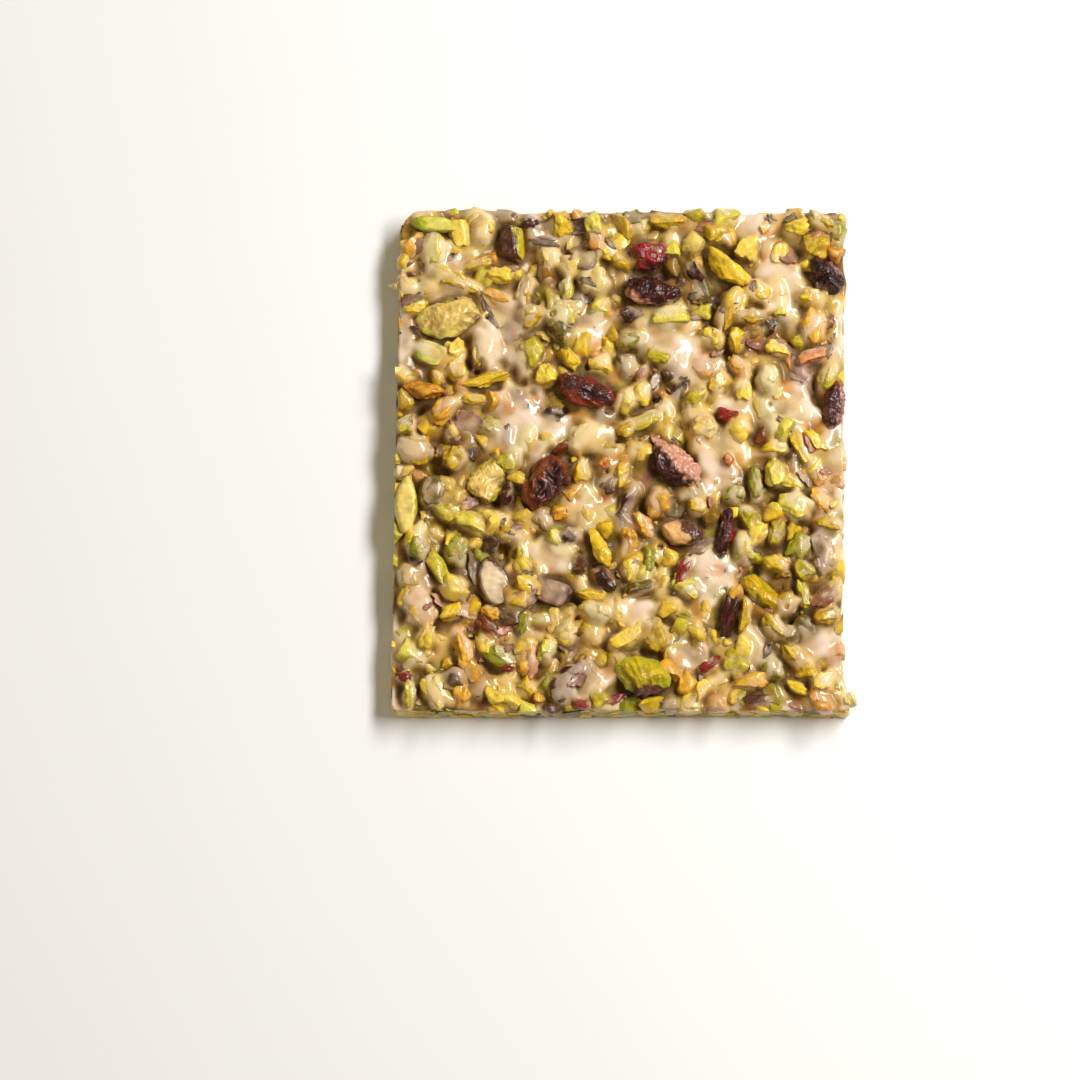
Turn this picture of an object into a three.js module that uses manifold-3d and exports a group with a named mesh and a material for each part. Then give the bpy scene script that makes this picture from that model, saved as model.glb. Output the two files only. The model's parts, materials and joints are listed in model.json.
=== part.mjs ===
// A tile of nut brittle: chopped pistachios and dried cranberries set in a milky caramel.
//
// Millimetres, +Z up. The tile lies flat, its width along X and its depth along Y, with its
// underside on Z = 0 and the origin in the middle of the underside. The caramel and the chopped
// pieces set in it are one solid. The whole kernels and the whole berries are solids of their
// own, each bedded in a socket of the caramel.

import * as THREE from "three";
import { mergeVertices } from "three/addons/utils/BufferGeometryUtils.js";
import Module from "manifold-3d";

// Driving dimensions of the tile.
const WIDTH = 95;
const DEPTH = 110;
const LEVEL = 7; // mean height of the caramel
const EDGE_DROP = 0.7; // how far the caramel falls off at the rim
const EDGE_BAND = 2.2; // width of that fall
const SOCKET_GAP = 0.3; // clearance all round a bedded kernel or berry

// How finely the caramel is divided.
const COLUMNS = 12;
const ROWS = 14;
const TIERS = 1;

// The edges as cut: each is a straight line with a slope, and the bumps that stand out on it,
// as place along the edge, height and half-width.
const LEFT_EDGE = { at: -47.9, slope: 0.0165, bumps: [] };
const RIGHT_EDGE = {
  at: 46.9,
  slope: 0.008,
  bumps: [[55, 0.9, 5], [38.5, 0.8, 3], [-37, -0.5, 9], [-56, 1.6, 6]],
};
const BACK_EDGE = { at: 54, slope: -0.002, bumps: [[-34, 0.9, 7], [4, 0.5, 4]] };
const FRONT_EDGE = { at: -55, slope: 0, bumps: [[-20, -0.2, 9], [16, 0.3, 8]] };
// Corner radii: left back, right back, left front, right front.
const CORNER_RADII = { leftBack: 4.2, rightBack: 1, leftFront: 1.6, rightFront: 1.2 };

// Long swells of the caramel: height, turns per millimetre along X and along Y, and phase.
const SWELLS = [
  [0.32, 0.31, 0.17, 0.6],
  [0.28, -0.22, 0.41, 2.1],
  [0.24, 0.53, -0.36, 4],
];

// Whole pistachio kernels. tip narrows the far end, cut slices the top flat at that share of the
// half-height, wrinkle is the depth of the creases, and lift is the height of the middle above
// the caramel. turn is about Z and tilt about the long axis, in degrees.
const KERNELS = [
  { x: -36.5, y: 31, length: 15.2, width: 9, height: 6.4, turn: 12, tilt: 4, lift: -0.6, tip: 0.06, cut: 1 },
  { x: -40.6, y: 22.9, length: 9, width: 5.2, height: 4, turn: -22, tilt: -8, lift: 0.6, tip: 0.15, cut: 0.5 },
  { x: -40, y: 51.1, length: 10.6, width: 3.8, height: 4, turn: -7, tilt: 18, lift: 0.4, tip: 0.1, cut: 0.5 },
  { x: -23.2, y: 47.3, length: 9.8, width: 6.2, height: 5.4, turn: 97, tilt: 14, lift: 0.1, tip: 0.12, cut: 0.6 },
  { x: 4.4, y: -47.9, length: 12.4, width: 8.4, height: 6, turn: -20, tilt: -6, lift: 0.4, tip: 0.08, cut: 0.85 },
  { x: -28.6, y: -5.2, length: 10.8, width: 8.4, height: 5.6, turn: 68, tilt: 3, lift: -0.5, tip: 0.1, cut: 1 },
  { x: -27.3, y: -27.6, length: 12.4, width: 6.8, height: 5.4, turn: 103, tilt: -5, lift: -0.3, tip: 0.12, cut: 1 },
  { x: -45.8, y: -10.6, length: 13.2, width: 5, height: 4.6, turn: 88, tilt: -10, lift: 0.2, tip: 0.2, cut: 0.7 },
  { x: 12.6, y: -16.6, length: 9.4, width: 6, height: 5, turn: -8, tilt: 6, lift: 0.2, tip: 0.1, cut: 0.8 },
  { x: 29.5, y: -29.8, length: 11.8, width: 5.2, height: 4.8, turn: -42, tilt: -8, lift: 0.2, tip: 0.15, cut: 0.9 },
  { x: -14.8, y: -29.4, length: 9.8, width: 7, height: 5, turn: -25, tilt: 5, lift: 0, tip: 0.05, cut: 1 },
].map((spec) => ({ wrinkle: 0.05, ...spec }));

// Whole dried cranberries, in the same terms.
const CRANBERRIES = [
  { x: 5.8, y: 44.6, length: 8.6, width: 6.6, height: 4.6, turn: 8, tilt: 6, lift: 0.5, tip: 0, cut: 0.7 },
  { x: 6.4, y: 36.4, length: 12.8, width: 6.6, height: 5, turn: -8, tilt: -8, lift: 0.2, tip: 0.1, cut: 1 },
  { x: -7.4, y: 14.4, length: 14, width: 7.4, height: 5.2, turn: -26, tilt: 12, lift: 0.6, tip: 0.15, cut: 0.8 },
  { x: -15.7, y: -5.6, length: 12.6, width: 8.4, height: 5.6, turn: 56, tilt: -4, lift: 0.5, tip: 0, cut: 1 },
  { x: 10.6, y: -1.6, length: 17, width: 7.6, height: 6, turn: -46, tilt: 6, lift: 0.4, tip: 0.1, cut: 1 },
  { x: 45, y: 11.4, length: 10.8, width: 4.4, height: 4.6, turn: 82, tilt: 10, lift: 0.3, tip: 0.15, cut: 1 },
  { x: 43.8, y: 40, length: 9.2, width: 7, height: 5.2, turn: -35, tilt: 0, lift: -0.4, tip: 0, cut: 1 },
  { x: 21.7, y: -17, length: 11.4, width: 3.8, height: 4, turn: 78, tilt: 0, lift: 0.1, tip: 0.2, cut: 1 },
].map((spec) => ({ wrinkle: 0.11, ...spec }));

// The chopped nuts that show most: x, y, length, width, turn.
const CHOPPED_NUTS = [
  [41.8, 46.6, 6.4, 6, 95], [40.8, 34.6, 5.8, 4.4, -20], [42.6, 51.8, 6.6, 4, -35], [22.3, 41.2, 12, 4.8, -42],
  [28.4, 36.4, 6.6, 5.2, -25], [-39.3, -51, 8.6, 5.8, -62], [-34, -52, 6.2, 4.2, 80], [-26.6, -43.4, 8.2, 4.6, -25],
  [-33.6, -42.2, 7.6, 3.8, -72], [-31.8, -14.6, 8.2, 5, -42], [-38.8, -24.8, 9.4, 4.2, -52], [-35, -20.8, 7, 5.6, 80],
  [4.2, 7.8, 8.4, 3.4, 27], [15.6, 13, 5.8, 3.6, 42], [17.7, 6.4, 5.6, 5.2, 0], [-5, -20.2, 9.6, 3.6, -58],
  [4.6, -14.8, 6.2, 3.2, -65], [1.6, -18, 6, 3.6, 100], [1.7, -24.8, 5.2, 3.8, 80], [-20.4, 37, 7.2, 3.6, 72],
  [-12.8, 27.4, 5.8, 4.6, -20], [-19.6, 23.2, 6.4, 5.6, 60], [-15.9, 18, 5.2, 4.4, 75], [-29.4, 16.8, 11, 3, 12],
  [-31.2, 12.6, 7, 2.8, -8], [-42.2, 14.6, 9.4, 4.2, -14], [-37.8, 10.4, 7.6, 4.6, 48], [-45.8, 7, 4.4, 3.8, 40],
  [-44.2, 1.8, 7.2, 6.4, -15], [-7, 4.6, 9.6, 6.6, 35], [-8.8, -3.2, 6, 4.4, 85], [-40.4, -7.6, 7, 5.8, 75],
  [-40.2, 45.8, 7.6, 6, 85], [-15.4, 44.4, 5.8, 4.8, -45], [-12.8, 51.4, 5.6, 5.2, -60], [-29.6, 50.2, 7, 5, 75],
  [-34.4, 38.6, 9, 3.4, -22], [-31.2, 42.4, 7.6, 2.8, 15], [-26.8, 35.2, 7.2, 3.2, -20], [-43.8, 33, 5.4, 2.6, 20],
  [4.3, 51.2, 4, 3.6, -20], [10, 52, 8, 3.8, -8], [19.4, 49.4, 8.8, 4.8, -22], [10.2, 31.2, 8.2, 5.4, 15],
  [22, 30.8, 6.4, 4.4, 70], [27.8, 30.8, 6.8, 3.6, 12], [19.6, 26.2, 6, 4.2, -25], [8, 22.2, 5.4, 3.4, -12],
  [1.6, 26, 5.4, 4.2, 5], [1.2, 20.2, 5.4, 4.4, 100], [25.2, 19.8, 6.6, 3.2, -48], [31, 17.2, 6.6, 5, 80],
  [43.8, 17.9, 6.6, 4, 70], [32.4, 2, 5.6, 3.8, 10], [38, 2.4, 8, 3, -65], [41, 3.4, 6.6, 3, -55],
  [28.3, -5.6, 7.2, 2.8, -85], [23.8, -8.4, 4.8, 4, 20], [36, -5.4, 6, 3.2, -15], [36.5, -10.8, 7.6, 6.6, -12],
  [32.6, -3.6, 6.4, 4.8, 85], [42.2, -9.6, 6.4, 3.4, -60], [16, -10.8, 4.6, 4, -70], [27.4, -13.4, 7.4, 3.8, -55],
  [25.6, -19.6, 6.6, 4.4, -80], [37.4, -19.6, 6, 5.2, 75], [38.4, -24.8, 4.6, 3.6, -50], [38.4, -30, 6.6, 2.6, -75],
  [43.4, -34.6, 6.2, 4.2, 20], [26, -35, 8, 2.6, 85], [12.8, -34.4, 6.4, 3, -18], [7.2, -39, 7.6, 5.8, -50],
  [1, -39.6, 8, 4, 18], [-6.2, -34, 7, 4.4, -25], [3.6, -28.6, 7.8, 2.8, 18], [-6.6, -30.2, 6.6, 3, -30],
  [-27.8, -34, 4.6, 3.2, -30], [-41.6, -39.4, 5.4, 4, 75], [-42.6, -33, 9, 6.4, -60], [-46.2, -30.2, 5.6, 2.6, 80],
  [-45, -51.6, 6.6, 2.8, 85], [-27.2, -51.6, 5.4, 3.4, -65], [-20.2, -50.2, 4.6, 3.6, -50], [32.2, -37, 6.6, 4.4, -60],
  [36.6, -43.4, 7, 4.4, -35], [27, -49, 8, 3.8, 8], [36.8, -50.2, 5, 2.6, -30], [16.6, -50.8, 5.4, 2.8, 60],
  [41, 28.8, 8, 5.6, 70], [-13, 31.6, 7, 5.8, 20], [-29, 23.8, 8.2, 5.6, 75],
];

// The chopped cranberries that show most, in the same terms.
const CHOPPED_BERRIES = [
  [-3.8, -26.2, 7, 4.2, -35], [-11.2, -17.4, 5.2, 4.2, 20], [12.9, -25, 8.2, 2.6, 70], [22.7, -35, 9.4, 3.4, 84],
  [42.8, -31, 7, 4.6, 22], [22.3, 8.9, 4.8, 3.2, -15], [29.9, 4.8, 6.2, 2.6, 58], [15.6, 40.6, 5.4, 3.2, -50],
  [18.6, -45.2, 5.4, 2.6, 32], [-10.4, -47.4, 7.6, 4, 22], [-14.4, 9.4, 4.4, 3.2, -20], [-2, -53, 5.4, 2.4, 18],
  [40.6, 22.2, 7, 3.2, 15], [28.8, -53, 6.8, 2.2, 0], [-28.4, -37.6, 6.6, 3.4, -50], [1.3, -9.6, 8.6, 2.8, 68],
];

// Pools of bare caramel, where nothing stands out: x, y, half-length, half-width, turn.
const POOLS = [
  [35, 11, 8, 5, 10], [19, -25, 5, 7, 0], [-22, 11, 5, 7, 0], [-7, 28.5, 4, 6, 30], [20.5, -1.5, 4.5, 8, -10],
  [10, 26, 6, 3, 0], [15.5, 20, 6, 4, -20], [-23, 3, 6, 3.5, -20], [34, 39.5, 5, 7, 25], [-7, -50.5, 8, 2.2, 32],
  [3, -33.5, 6, 2.6, 10], [13.5, -43, 4, 3.5, 0], [-15.5, -21.5, 5.5, 4, -20], [-21.5, -39, 4, 2.6, 0],
  [-46, 25.5, 1.8, 7, 0], [28, 51, 3.5, 3.5, 0], [-37.5, 36.6, 4, 2, 0], [41, -41, 5, 5, 0], [-8, -12, 5, 4, 0],
];

// Bits that stand out of the cut edges: x, y, z, length, width, turn.
const EDGE_BITS = [
  [-48.2, 38.4, 6.4, 3.4, 1.8, 8], [47.9, -52.8, 5.6, 3.6, 3, -60], [46.2, 3.8, 5.6, 4.6, 2.4, 90],
  [-26.4, -54.4, 5.6, 6, 2.4, 8], [36.6, -54.2, 5.4, 4.6, 2.2, -12], [-8.4, -54.4, 5, 7, 2.2, 0],
];

// Smaller chopped nuts, scattered over what is left, the longest first.
const SCATTER_SEED = 20417;
const SCATTER_COUNT = 30;
const LONGEST_BIT = 5.6;
const SHORTEST_BIT = 3.8;
const SCATTER_MARGIN = 3;
const SCATTER_TRIES = 4000;
const RIM_BIT_COUNT = 16; // nuts sliced through at the cut edges
const RIM_BIT_STAND = 0.35; // how far those stand out

const LOOKS = {
  caramel: { color: 0xd9bd86, roughness: 0.3 },
  kernel: { color: 0xb9a83a, roughness: 0.45 },
  cranberry: { color: 0x5a1c22, roughness: 0.35 },
};

const wasm = await Module();
wasm.setup();

// Numbers from 0 to 1 that are the same on every run.
function seededRandom(seed) {
  let state = seed >>> 0;
  return () => {
    state = (Math.imul(state, 1664525) + 1013904223) >>> 0;
    return state / 4294967296;
  };
}

const degrees = THREE.MathUtils.degToRad;

function edgeAt(edge, along) {
  return edge.bumps.reduce(
    (sum, [place, height, spread]) => sum + height * Math.exp(-(((along - place) / spread) ** 2)),
    edge.at + edge.slope * along,
  );
}

// A corner square is drawn in to a quarter circle.
function roundedCorner(x, y, cornerX, cornerY, radius) {
  const inX = radius - Math.abs(cornerX - x);
  const inY = radius - Math.abs(cornerY - y);
  if (inX <= 0 || inY <= 0) return [x, y];
  const pull = Math.max(inX, inY) / Math.hypot(inX, inY) - 1;
  return [x + Math.sign(cornerX) * inX * pull, y + Math.sign(cornerY) * inY * pull];
}

// The place on the tile of a point (u, v) of a unit square centred on the origin.
function onTile(u, v) {
  const left = edgeAt(LEFT_EDGE, v * DEPTH);
  const right = edgeAt(RIGHT_EDGE, v * DEPTH);
  const front = edgeAt(FRONT_EDGE, u * WIDTH);
  const back = edgeAt(BACK_EDGE, u * WIDTH);
  const x = THREE.MathUtils.lerp(left, right, u + 0.5);
  const y = THREE.MathUtils.lerp(front, back, v + 0.5);
  const corners = [
    [left, back, CORNER_RADII.leftBack],
    [right, back, CORNER_RADII.rightBack],
    [left, front, CORNER_RADII.leftFront],
    [right, front, CORNER_RADII.rightFront],
  ];
  return corners.reduce(([px, py], [cx, cy, radius]) => roundedCorner(px, py, cx, cy, radius), [x, y]);
}

// The height of the caramel at (x, y).
function caramelHeight(x, y) {
  const swell = SWELLS.reduce(
    (sum, [height, perX, perY, phase]) => sum + height * Math.sin(perX * x + perY * y + phase),
    0,
  );
  const toRim = Math.min(
    x - edgeAt(LEFT_EDGE, y),
    edgeAt(RIGHT_EDGE, y) - x,
    y - edgeAt(FRONT_EDGE, x),
    edgeAt(BACK_EDGE, x) - y,
  );
  const fall = 1 - THREE.MathUtils.smoothstep(toRim, 0, EDGE_BAND);
  return LEVEL + swell - EDGE_DROP * fall;
}

const materialOf = (look) => new THREE.MeshStandardMaterial({ ...look, metalness: 0 });

function solidOf(geometry) {
  const bare = geometry.clone();
  bare.deleteAttribute("normal");
  bare.deleteAttribute("uv");
  const merged = mergeVertices(bare);
  return new wasm.Manifold(
    new wasm.Mesh({
      numProp: 3,
      vertProperties: merged.attributes.position.array,
      triVerts: new Uint32Array(merged.index.array),
    }),
  );
}

function geometryOf(solid) {
  const { vertProperties, triVerts } = solid.getMesh();
  const geometry = new THREE.BufferGeometry();
  geometry.setAttribute("position", new THREE.BufferAttribute(new Float32Array(vertProperties), 3));
  geometry.setIndex(new THREE.BufferAttribute(new Uint32Array(triVerts), 1));
  const faceted = geometry.toNonIndexed();
  faceted.computeVertexNormals();
  return faceted;
}

// Moves each vertex of a geometry to move(x, y, z).
function reshaped(geometry, move) {
  const position = geometry.attributes.position;
  for (let i = 0; i < position.count; i++) {
    position.setXYZ(i, ...move(position.getX(i), position.getY(i), position.getZ(i)));
  }
  return geometry;
}

// Moves the last line of a division of count parts to the inside of the rim.
function towardsRim(share, count, size) {
  return Math.abs(share) < 0.499 ? (share * (0.5 - EDGE_BAND / size)) / (0.5 - 1 / count) : share;
}

function caramelGeometry() {
  return reshaped(new THREE.BoxGeometry(1, 1, 1, COLUMNS, ROWS, TIERS), (u, v, w) => {
    const [x, y] = onTile(towardsRim(u, COLUMNS, WIDTH), towardsRim(v, ROWS, DEPTH));
    return [x, y, (w + 0.5) * caramelHeight(x, y)];
  });
}

// A rough chip: an icosahedron with its corners pushed in and out, longest along X.
function chipGeometry(length, width, height, seed) {
  const random = seededRandom(seed);
  const pushes = new Map();
  return reshaped(new THREE.IcosahedronGeometry(1, 0), (x, y, z) => {
    const key = [x, y, z].map((value) => value.toFixed(3)).join();
    if (!pushes.has(key)) pushes.set(key, 0.86 + 0.32 * random());
    const push = pushes.get(key);
    return [(x * push * length) / 2, (y * push * width) / 2, (z * push * height) / 2];
  });
}

// A whole kernel or berry, grown by a margin on every side: a ball drawn out along X, narrowed
// towards one end, creased, and sliced flat on top.
function wholeGeometry({ length, width, height, tip, cut, wrinkle, x: phase }, grow) {
  return reshaped(new THREE.IcosahedronGeometry(1, 2), (x, y, z) => {
    const crease = 1 + wrinkle * (Math.sin(5 * x + 3 * y + phase) + Math.sin(6 * y - 4 * z + 2 * phase));
    const narrow = (1 - tip * x * x) * (1 - 0.4 * tip * x);
    const top = Math.min(z * crease, cut);
    return [
      x * (0.94 + 0.06 * crease) * (length / 2 + grow),
      y * crease * narrow * (width / 2 + grow),
      top * narrow * (height / 2 + grow),
    ];
  });
}

// A solid laid at (x, y, z), tilted about its own length and turned about Z, in degrees.
function laid(geometry, x, y, z, turn, tilt = 0) {
  const rotation = new THREE.Matrix4().makeRotationZ(degrees(turn));
  rotation.multiply(new THREE.Matrix4().makeRotationX(degrees(tilt)));
  return solidOf(geometry.applyMatrix4(rotation.setPosition(x, y, z)));
}

function inPool(x, y) {
  return POOLS.some(([cx, cy, halfLength, halfWidth, turn]) => {
    const [c, s] = [Math.cos(degrees(turn)), Math.sin(degrees(turn))];
    const along = (c * (x - cx) + s * (y - cy)) / halfLength;
    const across = (c * (y - cy) - s * (x - cx)) / halfWidth;
    return along * along + across * across < 1;
  });
}

const reachOf = (length, width) => (length + width) / 4;

// Bits scattered between the placed pieces, as [x, y, length, width, turn], the longest first.
function scatteredBits() {
  const random = seededRandom(SCATTER_SEED);
  const taken = [
    ...[...KERNELS, ...CRANBERRIES].map(({ x, y, length, width }) => [x, y, reachOf(length, width)]),
    ...[...CHOPPED_NUTS, ...CHOPPED_BERRIES].map(([x, y, length, width]) => [x, y, reachOf(length, width)]),
  ];
  const bits = [];
  for (let n = 0; n < SCATTER_TRIES && bits.length < SCATTER_COUNT; n++) {
    const x = (random() - 0.5) * (WIDTH - 2 * SCATTER_MARGIN);
    const y = (random() - 0.5) * (DEPTH - 2 * SCATTER_MARGIN);
    const length = THREE.MathUtils.lerp(LONGEST_BIT, SHORTEST_BIT, n / SCATTER_TRIES);
    const width = length * (0.55 + 0.35 * random());
    const turn = 180 * random();
    const reach = reachOf(length, width);
    if (inPool(x, y) || taken.some(([tx, ty, r]) => Math.hypot(x - tx, y - ty) < r + reach)) continue;
    taken.push([x, y, reach]);
    bits.push([x, y, length, width, turn]);
  }
  return bits;
}

// A chip of the top: it lies on the caramel with its middle a little above the surface.
function topChip([x, y, length, width, turn], index) {
  const height = Math.min(0.8 * width, 3.6);
  const lift = 0.14 * height;
  const tilt = 16 * Math.sin(7 * index);
  return laid(
    chipGeometry(length, width, height, index + 1), x, y, caramelHeight(x, y) + lift, turn, tilt,
  );
}

// Nuts sliced through at the cut edges, spread round the tile.
function rimBits() {
  const random = seededRandom(SCATTER_SEED + 1);
  return Array.from({ length: RIM_BIT_COUNT }, (_, n) => {
    const side = n % 4;
    const along = ((Math.floor(n / 4) + 0.2 + 0.6 * random()) / Math.ceil(RIM_BIT_COUNT / 4) - 0.5) * 0.9;
    const [u, v] = [[-0.5, along], [0.5, along], [along, -0.5], [along, 0.5]][side];
    const [x, y] = onTile(u, v);
    const length = 3.4 + 2 * random();
    const depth = 2 * RIM_BIT_STAND + 1.2;
    const turn = side < 2 ? 90 : 0;
    const z = 2.2 + 2.2 * random();
    return laid(chipGeometry(length, depth, 2.6, 500 + n), x, y, z, turn);
  });
}

// The mesh of a whole kernel or berry, placed in its socket.
function wholeMesh(name, spec, look) {
  const mesh = new THREE.Mesh(wholeGeometry(spec, 0), materialOf(look));
  mesh.name = name;
  mesh.position.set(spec.x, spec.y, caramelHeight(spec.x, spec.y) + spec.lift);
  mesh.rotation.set(degrees(spec.tilt), 0, degrees(spec.turn), "ZXY");
  return mesh;
}

function socketSolid(spec) {
  const z = caramelHeight(spec.x, spec.y) + spec.lift;
  return laid(wholeGeometry(spec, SOCKET_GAP), spec.x, spec.y, z, spec.turn, spec.tilt);
}

// The caramel with the chopped pieces joined on and a socket cut for each whole piece. A scrap
// that the sockets cut loose is dropped.
function brittleSolid() {
  const chips = [...CHOPPED_NUTS, ...CHOPPED_BERRIES, ...scatteredBits()].map(topChip);
  const edgeBits = EDGE_BITS.map(([x, y, z, length, width, turn], n) =>
    laid(chipGeometry(length, width, 0.8 * width, 700 + n), x, y, z, turn),
  );
  const joined = wasm.Manifold.union([solidOf(caramelGeometry()), ...chips, ...edgeBits, ...rimBits()]);
  const sockets = [...KERNELS, ...CRANBERRIES].map(socketSolid);
  const bodies = joined.subtract(wasm.Manifold.union(sockets)).decompose();
  return bodies.reduce((best, body) => (body.volume() > best.volume() ? body : best));
}

const brittle = new THREE.Mesh(geometryOf(brittleSolid()), materialOf(LOOKS.caramel));
brittle.name = "brittle";

const tile = new THREE.Group();
tile.name = "nut_brittle";
tile.add(brittle);
KERNELS.forEach((spec, n) => tile.add(wholeMesh(`pistachio_${n + 1}`, spec, LOOKS.kernel)));
CRANBERRIES.forEach((spec, n) => tile.add(wholeMesh(`cranberry_${n + 1}`, spec, LOOKS.cranberry)));

export default tile;
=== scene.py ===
"""A tile of nut brittle: chopped pistachios and dried cranberries set in a milky caramel.

Sizes are in millimetres until a mesh is made. X runs across the tile, Y away from the camera, Z up.
"""

import json
import math
from dataclasses import dataclass

import bmesh
import bpy
import numpy as np
from mathutils import Matrix, Vector, geometry

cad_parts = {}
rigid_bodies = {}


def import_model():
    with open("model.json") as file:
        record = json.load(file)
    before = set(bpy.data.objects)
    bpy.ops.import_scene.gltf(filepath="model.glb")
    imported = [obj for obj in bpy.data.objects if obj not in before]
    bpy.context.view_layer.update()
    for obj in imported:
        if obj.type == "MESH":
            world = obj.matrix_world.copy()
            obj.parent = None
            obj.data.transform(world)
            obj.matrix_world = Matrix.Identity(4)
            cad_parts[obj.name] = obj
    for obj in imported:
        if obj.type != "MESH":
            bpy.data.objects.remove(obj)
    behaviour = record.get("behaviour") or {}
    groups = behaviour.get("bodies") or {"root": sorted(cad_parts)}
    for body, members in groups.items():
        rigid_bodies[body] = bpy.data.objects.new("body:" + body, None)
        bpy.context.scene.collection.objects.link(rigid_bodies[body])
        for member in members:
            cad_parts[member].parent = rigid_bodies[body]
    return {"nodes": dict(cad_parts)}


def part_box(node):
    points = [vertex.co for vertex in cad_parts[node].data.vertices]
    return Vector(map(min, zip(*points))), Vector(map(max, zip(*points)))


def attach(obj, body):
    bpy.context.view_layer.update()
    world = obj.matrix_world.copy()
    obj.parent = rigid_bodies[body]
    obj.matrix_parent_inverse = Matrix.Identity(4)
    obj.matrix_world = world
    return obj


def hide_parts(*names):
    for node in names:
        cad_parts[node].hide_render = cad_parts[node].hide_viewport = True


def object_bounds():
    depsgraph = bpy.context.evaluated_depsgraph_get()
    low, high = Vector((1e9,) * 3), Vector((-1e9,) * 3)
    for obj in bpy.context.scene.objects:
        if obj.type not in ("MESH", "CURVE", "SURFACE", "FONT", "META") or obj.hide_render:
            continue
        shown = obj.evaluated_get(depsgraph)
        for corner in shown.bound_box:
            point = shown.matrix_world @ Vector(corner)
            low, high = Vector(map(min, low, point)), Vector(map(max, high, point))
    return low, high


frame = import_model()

cad_low, cad_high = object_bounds()
MM = 0.001

# ---------------------------------------------------------------- sizes of the tile

WIDTH, DEPTH, LEVEL = 95, 110, 7
EDGE_DROP, EDGE_BAND = 0.7, 2.2
LEFT_EDGE = (-47.9, 0.0165, [])
RIGHT_EDGE = (46.9, 0.008, [(55, 0.9, 5), (38.5, 0.8, 3), (-37, -0.5, 9), (-56, 1.6, 6)])
BACK_EDGE = (54, -0.002, [(-34, 0.9, 7), (4, 0.5, 4)])
FRONT_EDGE = (-55, 0, [(-20, -0.2, 9), (16, 0.3, 8)])
CORNERS = [(LEFT_EDGE, BACK_EDGE, 4.2), (RIGHT_EDGE, BACK_EDGE, 1),
           (LEFT_EDGE, FRONT_EDGE, 1.6), (RIGHT_EDGE, FRONT_EDGE, 1.2)]
SWELLS = [(0.32, 0.31, 0.17, 0.6), (0.28, -0.22, 0.41, 2.1), (0.24, 0.53, -0.36, 4)]

COLS, ROWS = 226, 262  # how finely the caramel's top is divided
TIERS = 11  # and its cut edges
# How far the caramel lies lower: everywhere, where the nuts crowd, in dusky places, in clefts, in pits.
FILM_DROP, DRY_DROP, DUSKY_DROP, CLEFT_DEPTH, PIT_DEPTH = 0.4, 1.25, 0.8, 2.4, 1.7
THINNEST, HEADROOM = 3, 0.4  # the caramel's least height, and its least distance below the solid's top

# Colours as they look on the sweet, in 8-bit sRGB.
TINTS = {
    "lemon": (242, 209, 88), "yellow": (228, 188, 36), "gold": (194, 154, 12), "bronze": (142, 102, 4),
    "amber": (226, 160, 44), "orange": (198, 122, 40), "lime": (186, 172, 26), "green": (148, 144, 18),
    "leaf": (164, 176, 46), "palegreen": (218, 206, 100), "olive": (98, 80, 6), "cream": (238, 210, 150),
    "peach": (230, 178, 116), "husk": (88, 48, 38), "mauve": (150, 100, 90), "plum": (60, 16, 18),
    "crimson": (136, 26, 30), "russet": (122, 56, 26), "pink": (208, 150, 126), "ink": (36, 14, 14),
    "ash": (168, 142, 122), "ember": (184, 76, 34), "garnet": (158, 62, 44), "milky": (221, 188, 109),
    "straw": (242, 214, 124), "rose": (214, 132, 132), "moss": (188, 162, 20), "fawn": (230, 205, 172),
}

# Linear colours of the caramel: where it is thick, what its cast and its greyish veils are, its painted
# shade where it lies low beside a heap of nuts and beside a pool, where it is thin and low between the
# nuts, partly its colour and partly painted shade, and how far that turns to olive or to brown, where it
# glows, its dark painted shade in the hollows, and on the cut edges.
CREAMY, CAST, VEIL = np.array([[0.88, 0.71, 0.58], [0.25, 0.36, 0.52], [0.6, 0.46, 0.37]])
HEAP_SHADE, POOL_SHADE = np.array([[0.5, 0.24, 0.015], [0.6, 0.42, 0.2]])
THIN_SHADED_AMBER, TO_OLIVE, TO_BROWN = np.array([[0.25, 0.115, 0.01], [-0.08, -0.01, -0.004], [-0.04, -0.08, 0.01]])
GLOW, HOLLOW_SHADE = np.array([[0.62, 0.2, 0.03], [0.1, 0.042, 0.003]])
CUT_AMBER, CUT_MILKY = np.array([[0.44, 0.26, 0.07], [0.78, 0.58, 0.33]])
# And of the nuts: the painted light on their tops, the cast of the whole lot, and the painted shade
# that a low place loses.
PAINTED_TOP_LIGHT, NUT_CAST, LOW_SHADE_LOSS = np.array([[0.95, 0.7, 0.1], [0.99, 0.98, 0.6], [0.3, 0.46, 0.92]])
CLEAR_SKIN = np.array([0.86, 0.82, 0.86])  # what a clear skin lets through

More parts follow.
